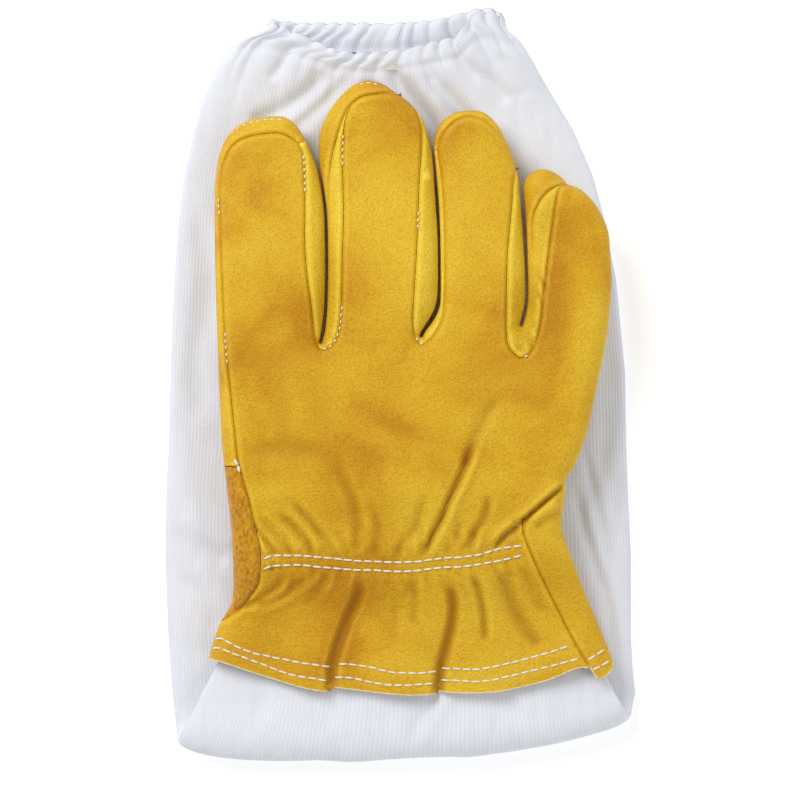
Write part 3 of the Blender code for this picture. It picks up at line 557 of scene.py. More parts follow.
def hand_height(points, side, folds=None):
    """Height of the hand's top (side 1) or bottom (side -1) at each point in plan."""
    middle, half, rounding = levels(points[:, 1])
    rise = side_rise(path_distance(points, OUTLINE), rounding)
    if side > 0:
        shift = top_relief(points, fold_relief(points) if folds is None else folds)
    else:
        x, y = points.T
        shift = -0.3 * lumps(x, y, 17, 21) - 0.12 * lumps(x, y, 5, 22)
    return middle + side * half * rise + shift * smoothstep(rise, 0.25, 0.8)


def inside(points, loop):
    found = np.zeros(len(points), bool)
    for (x0, y0), (x1, y1) in zip(loop, np.roll(loop, -1, axis=0)):
        crosses = (y0 > points[:, 1]) != (y1 > points[:, 1])
        rise = (y1 - y0) if y1 != y0 else 1e-9
        found ^= crosses & (points[:, 0] < (x1 - x0) * (points[:, 1] - y0) / rise + x0)
    return found


def nearest_index(place):
    return int(np.argmin(((OUTLINE - np.array(place)) ** 2).sum(axis=1)))


def side(start, end):
    """The outline from the point of it nearest start to the point nearest end."""
    return OUTLINE[nearest_index(start):nearest_index(end) + 1]


def seam(points, backwards=False):
    path = through(points, EDGE_STEP)
    return path[::-1] if backwards else path


def triangulated(plan, edge_count):
    """(points, faces) that fill the loop of the plan's first points, with the rest of them inside it."""
    made = delaunay_2d_cdt([Vector(p) for p in plan], [], [list(range(edge_count))], 1, 1e-4)
    return np.array([tuple(p) for p in made[0]]), made[2]


def facing(faces, flat, up):
    """The faces wound so that they look up (1) or down (-1)."""
    wound = []
    for face in faces:
        a, b, c = (flat[k] for k in face[:3])
        turn = (b[0] - a[0]) * (c[1] - a[1]) - (b[1] - a[1]) * (c[0] - a[0])
        wound.append(tuple(face) if turn * up > 0 else tuple(reversed(face)))
    return wound


def region(parts, top=1, step=GRID_STEP):
    """(points, faces) of a piece of the height field. Each part is (path, kind), clockwise: kind is "side"
    on the outline, "seam" where the leather rolls down into a seam, and "raw" on a cut edge."""
    pieces, kinds = [], []
    for path, kind in parts:
        if kind == "seam":
            path = path + inward(path) * SEAM_HALF_GAP
        if pieces and np.linalg.norm(pieces[-1][-1] - path[0]) < 0.35:
            path = path[1:]
        pieces.append(path)
        kinds.append(kind)
    if np.linalg.norm(pieces[-1][-1] - pieces[0][0]) < 0.35:
        pieces[-1] = pieces[-1][:-1]
    loop = np.vstack(pieces)
    closed = np.vstack([loop, loop[:1]])
    normals = inward(np.vstack([loop[-1:], closed]))[1:-1]
    points = [loop]
    for depth in RINGS:
        ring = loop + normals * depth
        ring = ring[inside(ring, loop)]
        points.append(ring[path_distance(ring, closed) > 0.9 * depth])
    low, high = loop.min(axis=0), loop.max(axis=0)
    rows = np.arange(low[1], high[1], step * 0.87)
    grid = np.array([(x + (k % 2) * step / 2, y) for k, y in enumerate(rows)
                     for x in np.arange(low[0], high[0], step)])
    grid = grid[inside(grid, loop)]
    points.append(grid[path_distance(grid, closed) > RINGS[-1] + 0.5 * step])
    flat, faces = triangulated(np.vstack(points), len(loop))
    folds = fold_relief(flat) if top > 0 else np.zeros(len(flat))
    heights = hand_height(flat, top, folds)
    away = np.full(len(flat), np.inf)
    for path, kind in zip(pieces, kinds):
        if kind == "seam" and len(path) > 1:
            away = np.minimum(away, path_distance(flat, path))
    roll = 0.8 * np.exp(-((away / 0.5) ** 2)) - 0.2 * np.exp(-(((away - 1.6) / 0.9) ** 2))
    middle, half, _ = levels(flat[:, 1])
    heights -= top * roll * smoothstep(top * (heights - middle), 0.15 * half, 0.6 * half)
    return np.column_stack([flat, heights, folds]), facing(faces, flat, top)


def grid_faces(rows, columns, wraps=False):
    """Faces between the neighbouring rows of a grid, whose rows close into rings if it wraps."""
    return [(r * columns + k, r * columns + (k + 1) % columns,
             (r + 1) * columns + (k + 1) % columns, (r + 1) * columns + k)
            for r in range(rows - 1) for k in range(columns if wraps else columns - 1)]


def underside_strip(start, end, depth):
    """(points, faces) of the leather that wraps from the outline in under the hand."""
    first, last = nearest_index(start), nearest_index(end)
    path, normals = OUTLINE[first:last + 1], OUTLINE_NORMALS[first:last + 1]
    depths = depth * np.linspace(0, 1, 9) ** 2
    rows = [path + normals * d for d in depths]
    plan = np.vstack(rows)
    middle, half, rounding = levels(plan[:, 1])
    rise = side_rise(np.repeat(depths, len(path)), rounding)
    points = np.column_stack([plan, middle - half * rise, np.zeros(len(plan))])
    return points, grid_faces(len(rows), len(path))


def inset(start, end, depth):
    """The outline between two places, moved in under the hand by a depth."""
    first, last = nearest_index(start), nearest_index(end)
    moved = OUTLINE[first:last + 1] + OUTLINE_NORMALS[first:last + 1] * depth
    keep = path_distance(moved, OUTLINE) > 0.93 * depth
    return moved[keep]


def joined(pieces):
    """Several (points, faces) as one."""
    points, faces = [], []
    for more, added in pieces:
        faces.extend(tuple(k + len(points) for k in face) for face in added)
        points.extend(tuple(p) for p in more)
    return points, faces


def mesh_piece(name, shape, look, weld=0.05):
    """An object from (points, faces) in millimetres."""
    points, faces = shape
    mesh = bpy.data.meshes.new(name)
    mesh.from_pydata([tuple(c * MM for c in p[:3]) for p in points], [], faces)
    # A fourth column, the crease relief, goes to the 'folds' attribute, from which the leather paints shade
    # into its creases.
    if len(points[0]) > 3:
        folds = mesh.attributes.new("folds", "FLOAT", "POINT")
        folds.data.foreach_set("value", [p[3] for p in points])
    if weld:
        made = bmesh.new()
        made.from_mesh(mesh)
        bmesh.ops.remove_doubles(made, verts=made.verts, dist=weld * MM)
        made.to_mesh(mesh)
        made.free()
    mesh.shade_smooth()
    mesh.materials.append(look)
    piece = bpy.data.objects.new(name, mesh)
    bpy.context.scene.collection.objects.link(piece)
    return piece


def thicken(piece, thickness, raw_look=None, raw_paths=()):
    """Gives a sheet its thickness, and its cut edges their own material."""
    solid = piece.modifiers.new("thickness", "SOLIDIFY")
    solid.thickness = thickness * MM
    solid.offset = -1.0
    solid.use_even_offset = False
    shaped = bpy.data.meshes.new_from_object(piece.evaluated_get(bpy.context.evaluated_depsgraph_get()))
    piece.modifiers.clear()
    old, piece.data = piece.data, shaped
    bpy.data.meshes.remove(old)
    if raw_look is None:
        return piece
    shaped.materials.append(raw_look)
    centres = np.array([face.center for face in shaped.polygons]) / MM
    for path in raw_paths:
        for index in np.nonzero(path_distance(centres[:, :2], path) < RAW_WIDTH)[0]:
            shaped.polygons[index].material_index = 1
    return piece


def stitch_row(path, pitch, length, radius, lift, height):
    """(points, faces) of a row of thread stitches lying on the surface of a height function."""
    fine = through(path, 0.25)
    step = np.linalg.norm(np.diff(fine, axis=0), axis=1).mean()
    count = max(1, int(len(fine) * step / pitch))
    draw = np.random.default_rng(int(abs(path[0][0]) * 10))
    pieces = []
    for k in range(count):
        start = int((k + 0.5) * pitch / step - length / step / 2)
        stop = int(start + length / step)
        if start < 0 or stop >= len(fine):
            continue
        at = np.linspace(start, start + length / step, 7)
        line = np.column_stack([np.interp(at, np.arange(len(fine)), values) for values in fine.T])
        line += draw.uniform(-0.08, 0.08)
        share = np.linspace(-1, 1, 7)
        bow = np.sqrt(np.maximum(0, 1 - share**2))
        under = height(line)
        level = under.max() * 0.5 + under * 0.5
        centre = np.column_stack([line, level + lift * (0.4 + bow) - 0.15])
        pieces.append(tube(centre, radius * (0.45 + 0.55 * bow), 8))
    return joined(pieces)


def tube(centre, radii, sides):
    """(points, faces) of a closed tube round a nearly level centreline."""
    forward = np.gradient(centre, axis=0)
    forward /= np.linalg.norm(forward, axis=1)[:, None]
    across = np.cross(forward, (0, 0, 1))
    across /= np.linalg.norm(across, axis=1)[:, None]
    up = np.cross(across, forward)
    points = []
    for middle, x, z, radius in zip(centre, across, up, radii):
        for angle in np.linspace(0, 2 * math.pi, sides, endpoint=False):
            points.append(middle + radius * (x * math.cos(angle) + z * math.sin(angle)))
    faces = grid_faces(len(centre), sides, wraps=True)
    faces.append(tuple(range(sides - 1, -1, -1)))
    faces.append(tuple((len(centre) - 1) * sides + k for k in range(sides)))
    return points, faces


# Materials.


def new_material(name):
    made = bpy.data.materials.new(name)
    made.use_nodes = True
    return made, made.node_tree.nodes, made.node_tree.links


def noise(nodes, links, source, scale, detail, stretch=None, distortion=0.0):
    """A noise texture's factor over object coordinates, stretched if asked."""
    if stretch:
        mapping = nodes.new("ShaderNodeMapping")
        mapping.inputs["Scale"].default_value = stretch
        links.new(source, mapping.inputs["Vector"])
        source = mapping.outputs["Vector"]
    made = nodes.new("ShaderNodeTexNoise")
    made.inputs["Scale"].default_value = scale
    made.inputs["Detail"].default_value = detail
    made.inputs["Distortion"].default_value = distortion
    links.new(source, made.inputs["Vector"])
    return made.outputs["Fac"]


def ramp(nodes, links, source, stops):
    made = nodes.new("ShaderNodeValToRGB")
    points = made.color_ramp.elements
    while len(points) < len(stops):
        points.new(0.5)
    for point, (place, colour) in zip(points, stops):
        point.position = place
        point.color = (*colour, 1.0)
    links.new(source, made.inputs["Fac"])
    return made.outputs["Color"]


def mix(nodes, links, share, first, second, how="MIX"):
    made = nodes.new("ShaderNodeMix")
    made.data_type = "RGBA"
    made.blend_type = how
    for socket, value in (("Factor", share), ("A", first), ("B", second)):
        kind = "VALUE" if socket == "Factor" else "RGBA"
        target = [s for s in made.inputs if s.name == socket and s.type == kind][0]
        if hasattr(value, "is_output"):
            links.new(value, target)
        else:
            target.default_value = value if socket == "Factor" else (*value, 1.0)
    return [s for s in made.outputs if s.type == "RGBA"][0]


def bump(nodes, links, height, distance, strength, before=None):
    made = nodes.new("ShaderNodeBump")
    made.inputs["Distance"].default_value = distance
    made.inputs["Strength"].default_value = strength
    links.new(height, made.inputs["Height"])
    if before is not None:
        links.new(before, made.inputs["Normal"])
    return made.outputs["Normal"]


def leather_material(name, dark, base, light, roughness=(0.46, 0.62)):
    """Soft goatskin: mottled dye, fine pebbled grain, cross wrinkles, paler worn ridges, and painted shade
    in the creases and hollows.
    """
    made, nodes, links = new_material(name)
    shader = nodes["Principled BSDF"]
    place = nodes.new("ShaderNodeTexCoord").outputs["Object"]
    mottle = noise(nodes, links, place, 26, 7, distortion=0.4)
    colour = ramp(nodes, links, mottle, ((0.34, dark), (0.5, base), (0.68, light)))
    specks = ramp(nodes, links, noise(nodes, links, place, 1500, 4),
                  ((0.32, (0.74, 0.64, 0.42)), (0.58, (1, 1, 1))))
    colour = mix(nodes, links, 0.8, colour, specks, "MULTIPLY")
    # Painted shade: the colour darkens towards a shade of the dark dye as the crease relief held in the
    # 'folds' attribute sinks.
    folds = nodes.new("ShaderNodeAttribute")
    folds.attribute_name = "folds"
    depth = nodes.new("ShaderNodeMapRange")
    depth.inputs["From Min"].default_value = 0.0
    depth.inputs["From Max"].default_value = -3.4
    links.new(folds.outputs["Fac"], depth.inputs["Value"])
    shade = [c * k for c, k in zip(dark, (0.62, 0.5, 0.5))]
    colour = mix(nodes, links, depth.outputs["Result"], colour, shade)
    edge = nodes.new("ShaderNodeNewGeometry").outputs["Pointiness"]
    worn = ramp(nodes, links, edge, ((0.515, (0, 0, 0)), (0.6, (1, 1, 1))))
    # Painted shade: where Pointiness marks a hollow, the colour darkens towards 0.6 of the dark dye.
    hollow_shade = ramp(nodes, links, edge, ((0.4, (1, 1, 1)), (0.487, (0, 0, 0))))
    colour = mix(nodes, links, worn, colour, [min(1.0, c * 1.22 + 0.02) for c in light])
    colour = mix(nodes, links, hollow_shade, colour, [c * 0.6 for c in dark])
    links.new(colour, shader.inputs["Base Color"])
    rough = nodes.new("ShaderNodeMapRange")
    rough.inputs["To Min"].default_value, rough.inputs["To Max"].default_value = roughness
    links.new(noise(nodes, links, place, 120, 4), rough.inputs["Value"])
    links.new(rough.outputs["Result"], shader.inputs["Roughness"])
    cells = nodes.new("ShaderNodeTexVoronoi")
    cells.feature = "SMOOTH_F1"
    cells.inputs["Scale"].default_value = 1150
    cells.inputs["Smoothness"].default_value = 0.4
    links.new(place, cells.inputs["Vector"])
    normal = bump(nodes, links, cells.outputs["Distance"], 0.00024, 0.7)
    wrinkles = noise(nodes, links, place, 420, 3, stretch=(0.35, 1.0, 1.0), distortion=1.2)
    normal = bump(nodes, links, wrinkles, 0.00042, 0.65, normal)
    links.new(normal, shader.inputs["Normal"])
    shader.inputs["Specular IOR Level"].default_value = 0.16
    return made


def suede_material():
    """Rough side of the hide: short brushed nap in streaks and specks."""
    made, nodes, links = new_material("suede_nap")
    shader = nodes["Principled BSDF"]
    place = nodes.new("ShaderNodeTexCoord").outputs["Object"]
    streaks = noise(nodes, links, place, 900, 6, stretch=(1.0, 0.6, 1.0), distortion=0.3)
    colour = ramp(nodes, links, streaks,
                  ((0.3, (0.42, 0.16, 0.003)), (0.5, (0.58, 0.265, 0.008)), (0.72, (0.7, 0.39, 0.025))))
    blotch = ramp(nodes, links, noise(nodes, links, place, 60, 4),
                  ((0.35, (0.8, 0.76, 0.7)), (0.6, (1, 1, 1))))
    links.new(mix(nodes, links, 0.8, colour, blotch, "MULTIPLY"), shader.inputs["Base Color"])
    normal = bump(nodes, links, noise(nodes, links, place, 1300, 4), 0.0003, 0.7)
    normal = bump(nodes, links, streaks, 0.0005, 0.7, normal)
    links.new(normal, shader.inputs["Normal"])
    shader.inputs["Roughness"].default_value = 0.95
    shader.inputs["Specular IOR Level"].default_value = 0.15
    shader.inputs["Sheen Weight"].default_value = 0.3
    return made


def canvas_material():
    """White canvas with lengthwise ribs and painted shade in the grooves between them, a cross thread and a
    little slubbing. UV holds millimetres.
    """
    made, nodes, links = new_material("ribbed_canvas")
    shader = nodes["Principled BSDF"]
    weave = nodes.new("ShaderNodeUVMap")
    weave.uv_map = "weave"
    split = nodes.new("ShaderNodeSeparateXYZ")
    links.new(weave.outputs["UV"], split.inputs["Vector"])
    place = nodes.new("ShaderNodeTexCoord").outputs["Object"]
    wobble = noise(nodes, links, place, 90, 3)

    def waves(axis, pitch, share):
        add = nodes.new("ShaderNodeMath")
        add.operation = "MULTIPLY_ADD"
        links.new(wobble, add.inputs[0])
        add.inputs[1].default_value = share
        links.new(split.outputs[axis], add.inputs[2])
        turn = nodes.new("ShaderNodeMath")
        turn.operation = "MULTIPLY"
        links.new(add.outputs[0], turn.inputs[0])
        turn.inputs[1].default_value = 2 * math.pi / pitch
        wave = nodes.new("ShaderNodeMath")
        wave.operation = "SINE"
        links.new(turn.outputs[0], wave.inputs[0])
        level = nodes.new("ShaderNodeMapRange")
        level.inputs["From Min"].default_value = -1.0
        links.new(wave.outputs[0], level.inputs["Value"])
        return level.outputs["Result"]

    ribs, threads = waves("X", RIB_MM, 1.2), waves("Y", 0.62, 0.6)
    # Painted shade: the colour is darker and bluer in the grooves between the ribs than on their crowns.
    rib_groove_shade = ramp(nodes, links, ribs,
                ((0.0, (0.755, 0.775, 0.845)), (0.55, (0.79, 0.81, 0.865)), (1.0, (0.81, 0.83, 0.88))))
    slub = ramp(nodes, links, noise(nodes, links, place, 260, 5, stretch=(1.0, 0.2, 1.0)),
                ((0.35, (0.94, 0.94, 0.955)), (0.6, (1, 1, 1))))
    links.new(mix(nodes, links, 0.8, rib_groove_shade, slub, "MULTIPLY"), shader.inputs["Base Color"])
    normal = bump(nodes, links, ribs, 0.00011, 0.6)
    normal = bump(nodes, links, threads, 0.00009, 0.5, normal)
    normal = bump(nodes, links, noise(nodes, links, place, 1500, 3), 0.0001, 0.4, normal)
    links.new(normal, shader.inputs["Normal"])
    shader.inputs["Roughness"].default_value = 0.86
    shader.inputs["Specular IOR Level"].default_value = 0.2
    shader.inputs["Sheen Weight"].default_value = 0.15
    return made


def plain_fibre(name, dark, light, scale, roughness):
    """Thread, elastic or cut hide: fibrous colour and a fine bump."""
    made, nodes, links = new_material(name)
    shader = nodes["Principled BSDF"]
    place = nodes.new("ShaderNodeTexCoord").outputs["Object"]
    fibre = noise(nodes, links, place, scale, 4, stretch=(1.0, 0.4, 1.0), distortion=0.8)
    links.new(ramp(nodes, links, fibre, ((0.35, dark), (0.65, light))), shader.inputs["Base Color"])
    links.new(bump(nodes, links, fibre, 0.00012, 0.6), shader.inputs["Normal"])
    shader.inputs["Roughness"].default_value = roughness
    shader.inputs["Specular IOR Level"].default_value = 0.25
    return made


LEATHER = leather_material("goatskin", (0.56, 0.255, 0.008), (0.7, 0.405, 0.017), (0.76, 0.5, 0.03))
LEATHER_PALE = leather_material("goatskin_pale", (0.66, 0.4, 0.016), (0.78, 0.54, 0.036), (0.82, 0.6, 0.05))
SUEDE = suede_material()
CANVAS = canvas_material()
THREAD = plain_fibre("thread", (0.74, 0.72, 0.66), (0.9, 0.89, 0.86), 1800, 0.6)
RAW_EDGE = plain_fibre("cut_hide_edge", (0.66, 0.52, 0.2), (0.82, 0.74, 0.5), 1400, 0.9)
ELASTIC = plain_fibre("knitted_elastic", (0.72, 0.72, 0.72), (0.88, 0.88, 0.88), 1500, 0.7)


# The leather hand.


def make_back():
    shell = region([
        (side(RUNS["cuff_left"][0], RUNS["cuff_left"][-1]), "side"),
        (seam(SUEDE_SEAM), "seam"),
        (seam(INDEX_LEFT_SEAM), "seam"),
        (seam(INDEX_TOP), "seam"),
        (seam(INDEX_RIGHT_SEAM), "seam"),
        (seam(MIDDLE_LEFT_SEAM), "seam"),
        (seam(MIDDLE_TOP), "seam"),
        (side(MIDDLE_TOP[-1], MIDDLE_RIGHT_SEAM[0]), "side"),
        (seam(MIDDLE_RIGHT_SEAM), "seam"),
        (seam(RING_LEFT_SEAM), "seam"),
        (seam(RING_TOP), "seam"),
        (side(RING_TOP[-1], RING_RIGHT_SEAM[0]), "side"),
        (seam(RING_RIGHT_SEAM), "seam"),
        (seam(LITTLE_LEFT_SEAM), "seam"),
        (side(RUNS["little_right"][0], RUNS["little_right"][-1]), "side"),
        (seam(HAND_FOLD), "seam"),
        (seam(CUFF_SEAM), "seam"),
        (seam(HEM_RIGHT), "raw"),
        (seam(HEM_MIDDLE), "raw"),
        (seam(HEM_LEFT), "raw"),
    ])
    below = [underside_strip(RUNS["little_right"][0], RUNS["little_right"][-1], 5.0),
             underside_strip(RUNS["cuff_left"][0], RUNS["cuff_left"][-1], 4.5)]
    back = mesh_piece("back_of_hand", joined([shell] + below), LEATHER)
    raw = [seam(HEM_RIGHT), seam(HEM_MIDDLE), seam(HEM_LEFT)]
    return thicken(back, LEATHER_THICK, RAW_EDGE, raw)


def make_suede():
    top = region([
        (side(RUNS["suede_side"][0], RUNS["suede_side"][-1]), "side"),
        (seam((RUNS["suede_side"][-1], SUEDE_SEAM[-1])), "seam"),
        (seam(SUEDE_SEAM, True), "seam"),
    ])
    below = underside_strip(RUNS["suede_side"][0], RUNS["suede_side"][-1], 6.0)
    return thicken(mesh_piece("suede_patch", joined([top, below]), SUEDE), LEATHER_THICK)


def make_fourchettes():
    """The pale side pieces between the fingers."""
    shapes = {
        "fourchette_index": ([
            (side(INDEX_RIGHT_SEAM[0], MIDDLE_BORDER[0]), "side"),
            (seam(MIDDLE_BORDER), "seam"),
            (seam(MIDDLE_LEFT_SEAM, True), "seam"),
            (seam(INDEX_RIGHT_SEAM, True), "seam"),
        ], (INDEX_RIGHT_SEAM[0], MIDDLE_BORDER[0])),
        "fourchette_middle": ([
            (side(MIDDLE_RIGHT_SEAM[0], RING_LEFT_SEAM[-1]), "side"),
            (seam(RING_LEFT_SEAM, True), "seam"),
            (seam(MIDDLE_RIGHT_SEAM, True), "seam"),
        ], (MIDDLE_RIGHT_SEAM[0], RING_LEFT_SEAM[-1])),
        "fourchette_ring": ([
            (side(RING_RIGHT_SEAM[0], LITTLE_BORDER[0]), "side"),
            (seam(LITTLE_BORDER), "seam"),
            (seam(LITTLE_LEFT_SEAM, True), "seam"),
            (seam(RING_RIGHT_SEAM, True), "seam"),
        ], (RING_RIGHT_SEAM[0], LITTLE_BORDER[0])),
    }
    made = []
    for name, (parts, ends) in shapes.items():
        shell = joined([region(parts), underside_strip(*ends, 5.6)])
        made.append(thicken(mesh_piece(name, shell, LEATHER_PALE), LEATHER_THICK))
    return made


def palm_seam_ends():
    """The outline's points where the seam between the palm and the cuff meets it, left then right."""
    return tuple(OUTLINE[nearest_index((x, PALM_SEAM_Y))] for x in (PALM_SEAM_LEFT, PALM_SEAM_RIGHT))


def make_palm():
    """The palm, with the parts of it that wrap over the fingertips."""
    wraps = [
        region([(side(RUNS["index_left"][0], INDEX_TOP[-1]), "side"),
                (seam(INDEX_TOP, True), "seam"),
                (seam(INDEX_LEFT_SEAM, True), "seam")]),
        region([(side(MIDDLE_BORDER[0], MIDDLE_TOP[-1]), "side"),
                (seam(MIDDLE_TOP, True), "seam"),
                (seam(MIDDLE_BORDER, True), "seam")]),
        region([(side(RING_LEFT_SEAM[-1], RING_TOP[-1]), "side"),
                (seam(RING_TOP, True), "seam")]),
        region([(side(LITTLE_BORDER[0], LITTLE_BORDER[-1]), "side"),
                (seam(LITTLE_BORDER, True), "seam")]),
    ]
    left, right = palm_seam_ends()
    bottom = region([
        (inset(left, RUNS["suede_side"][-1], 6.2), "seam"),
        (side(RUNS["index_left"][0], INDEX_TOP[-1]), "side"),
        (inset(INDEX_RIGHT_SEAM[0], MIDDLE_BORDER[0], 5.8), "seam"),
        (side(MIDDLE_BORDER[0], MIDDLE_RIGHT_SEAM[0]), "side"),
        (inset(MIDDLE_RIGHT_SEAM[0], RING_LEFT_SEAM[-1], 5.8), "seam"),
        (side(RING_LEFT_SEAM[-1], RING_RIGHT_SEAM[0]), "side"),
        (inset(RING_RIGHT_SEAM[0], LITTLE_BORDER[0], 5.8), "seam"),
        (side(LITTLE_BORDER[0], LITTLE_BORDER[-1]), "side"),
        (inset(RUNS["little_right"][0], RUNS["little_right"][-1], 5.2), "seam"),
        (side(RUNS["cuff_right"][0], right), "side"),
        (seam((right + (-1.0, 0.2), left + (6.5, 0.2))), "seam"),
    ], top=-1, step=UNDER_STEP)
    palm = mesh_piece("palm", joined(wraps + [bottom]), LEATHER)
    return thicken(palm, LEATHER_THICK)


def make_cuff():
    """The cuff's palm side, with the strip of it that folds over at the little finger's side."""
    top = region([
        (side(RUNS["cuff_right"][0], RUNS["cuff_right"][-1]), "side"),
        (seam(FOOT), "raw"),
        (seam(CUFF_SEAM_FOOT, True), "raw"),
        (seam(CUFF_SEAM, True), "seam"),
        (seam(HAND_FOLD, True), "seam"),
    ])
    left, right = palm_seam_ends()
    bottom = region([
        (inset(RUNS["cuff_left"][0], left, 6.2), "seam"),
        (seam((left + (6.5, -0.2), right + (-1.0, -0.2))), "seam"),
        (side(right, RUNS["cuff_right"][-1]), "side"),
        (seam(HEM_UNDERSIDE), "raw"),
    ], top=-1, step=UNDER_STEP)
    cuff = mesh_piece("cuff_palm_side", joined([top, bottom]), LEATHER)
    return thicken(cuff, LEATHER_THICK, RAW_EDGE, [seam(FOOT), seam(CUFF_SEAM_FOOT)])


def top_surface(points):
    return hand_height(points, 1)


def make_stitches():
    """White thread: rows at the wrist, the hem and the fingertip rim, and dots in the seams."""
    rows = [stitch_row(row, 3.5, 3.0, 0.34, 0.32, top_surface) for row in WRIST_ROWS + HEM_ROWS]
    rows += [stitch_row(row, 2.3, 1.0, 0.27, 0.3, top_surface) for row in SEAM_DOTS]
    rows += [stitch_row(row, 2.5, 1.1, 0.25, 0.3, top_surface) for row in (INDEX_RIM_ROW, MIDDLE_RIM_ROW)]
    rows += [stitch_row(row, 2.2, 2.1, 0.5, 0.55, top_surface) for row in SIDE_STITCHES]
    return mesh_piece("leather_stitches", joined(rows), THREAD, weld=0)


def make_wrist_elastic():
    upper, lower = (through(row, 1.2) for row in WRIST_ROWS)
    lower = even(lower, np.linalg.norm(np.diff(lower, axis=0), axis=1).sum() / (len(upper) - 1))
    plan = [upper * (1 - t) + lower[:len(upper)] * t for t in np.linspace(-0.5, 1.5, 7)]
    flat = np.vstack(plan)
    points = np.column_stack([flat, top_surface(flat) - LEATHER_THICK - 0.9])
    faces = [(b, a, d, c) for a, b, c, d in grid_faces(len(plan), len(upper))]
    return thicken(mesh_piece("elastic_at_wrist", (points, faces), ELASTIC), 0.7)


def thumb_outline():
    """The thumb's plan round its base, aimed along +X: a large arc, a small arc and straight sides."""
    lean = math.asin((THUMB_BASE_R - THUMB_TIP_R) / THUMB_REACH)
    tip = [(THUMB_REACH + THUMB_TIP_R * math.cos(a), THUMB_TIP_R * math.sin(a))
           for a in np.linspace(math.pi / 2 - lean, lean - math.pi / 2, 30)]
    base = [(THUMB_BASE_R * math.cos(a), THUMB_BASE_R * math.sin(a))
            for a in np.linspace(lean - math.pi / 2, lean - math.pi / 2 - math.pi - 2 * lean, 44)]
    loop = np.vstack([tip, base])
    return even(np.vstack([loop, loop[:1]]), 1.3)[:-1]


def make_thumb():
    """Front and back of the thumb, each domed, creased across and rolled into the seam between them."""
    loop = thumb_outline()
    closed = np.vstack([loop, loop[:1]])
    normals = inward(np.vstack([loop[-1:], closed]))[1:-1]
    points = [loop] + [loop + normals * d for d in (0.15, 0.5, 1.1, 2.0)]
    low, high = loop.min(axis=0), loop.max(axis=0)
    grid = np.array([(x, y) for x in np.arange(low[0], high[0], 1.6)
                     for y in np.arange(low[1], high[1], 1.6)])
    grid = grid[inside(grid, loop)]
    points.append(grid[path_distance(grid, closed) > 2.8])
    flat, faces = triangulated(np.vstack(points), len(loop))
    away = path_distance(flat, closed)
    share = np.clip(away / THUMB_ROUND, 0, 1)
    rise = np.sqrt(1 - (1 - share) ** 2)
    aim = math.radians(THUMB_AIM_DEG)
    turned = np.column_stack([flat[:, 0] * math.cos(aim) - flat[:, 1] * math.sin(aim) + THUMB_BASE[0],
                              flat[:, 0] * math.sin(aim) + flat[:, 1] * math.cos(aim) + THUMB_BASE[1]])
    middle, half = (THUMB_LOW + THUMB_HIGH) / 2, (THUMB_HIGH - THUMB_LOW) / 2
    creases = ((((14.0, -12.0), (16.0, 0.0), (14.0, 12.0)), 0.7, 1.2, 0.2),
               (((21.0, -11.0), (22.5, 0.0), (21.0, 12.0)), 0.5, 1.0, 0.2))
    bend = crease_relief(flat, creases) + 0.2 * lumps(*flat.T, 8, 31)
    halves = []
    for name, up in (("thumb_top", 1), ("thumb_under", -1)):
        heights = middle + up * (0.12 + (half - 0.12) * rise + (bend - 0.2) * smoothstep(rise, 0.3, 0.9))
        shape = (np.column_stack([turned, heights]), facing(faces, flat, up))
        half_thumb = mesh_piece(name, shape, LEATHER)
        halves.append(thicken(half_thumb, THUMB_THICK))
    return halves


# The sleeve.


def sleeve_columns():
    """Places across, from -1 to 1, and 1 on the upper ply or 0 on the lower, round the tube."""
    half = SLEEVE_COLUMNS // 2
    share = np.arange(half) / half
    across = 0.7 * (2 * share - 1) - 0.3 * np.cos(math.pi * share)
    return np.concatenate([across, -across]), np.concatenate([np.zeros(half), np.ones(half)])


ACROSS, UPPER = sleeve_columns()


def ring(nominal, sides, low, high):
    """(x, height) round a flattened tube, thick in the middle and closed at both side folds."""
    table = np.array(sides)
    order = np.argsort(table[:, 0])
    left, right = (np.interp(nominal, table[order, 0], table[order, k]) for k in (1, 2))
    x = left + (right - left) * (ACROSS + 1) / 2
    bulge = np.sqrt(np.maximum(0, 1 - np.abs(ACROSS) ** 6))
    middle = low + (high - low) * 0.42
    height = np.where(UPPER > 0, middle + (high - middle) * bulge, middle - (middle - low) * bulge)
    return x, height


def pleat_wave(count, seed):
    """Rounded ridges with sharp valleys between them, from 0 to 1, round the tube."""
    place = np.where(UPPER > 0, 1.0, -1.0) * (ACROSS * 0.5 + 0.5) * count
    place = place + 0.42 * lumps(place, place * 0 + seed, 1.7, seed)
    tall = 0.75 + 0.25 * lumps(place, place * 0 + 3 * seed, 1.1, seed + 1)
    return tall * np.abs(np.sin(math.pi * place)) ** 0.7


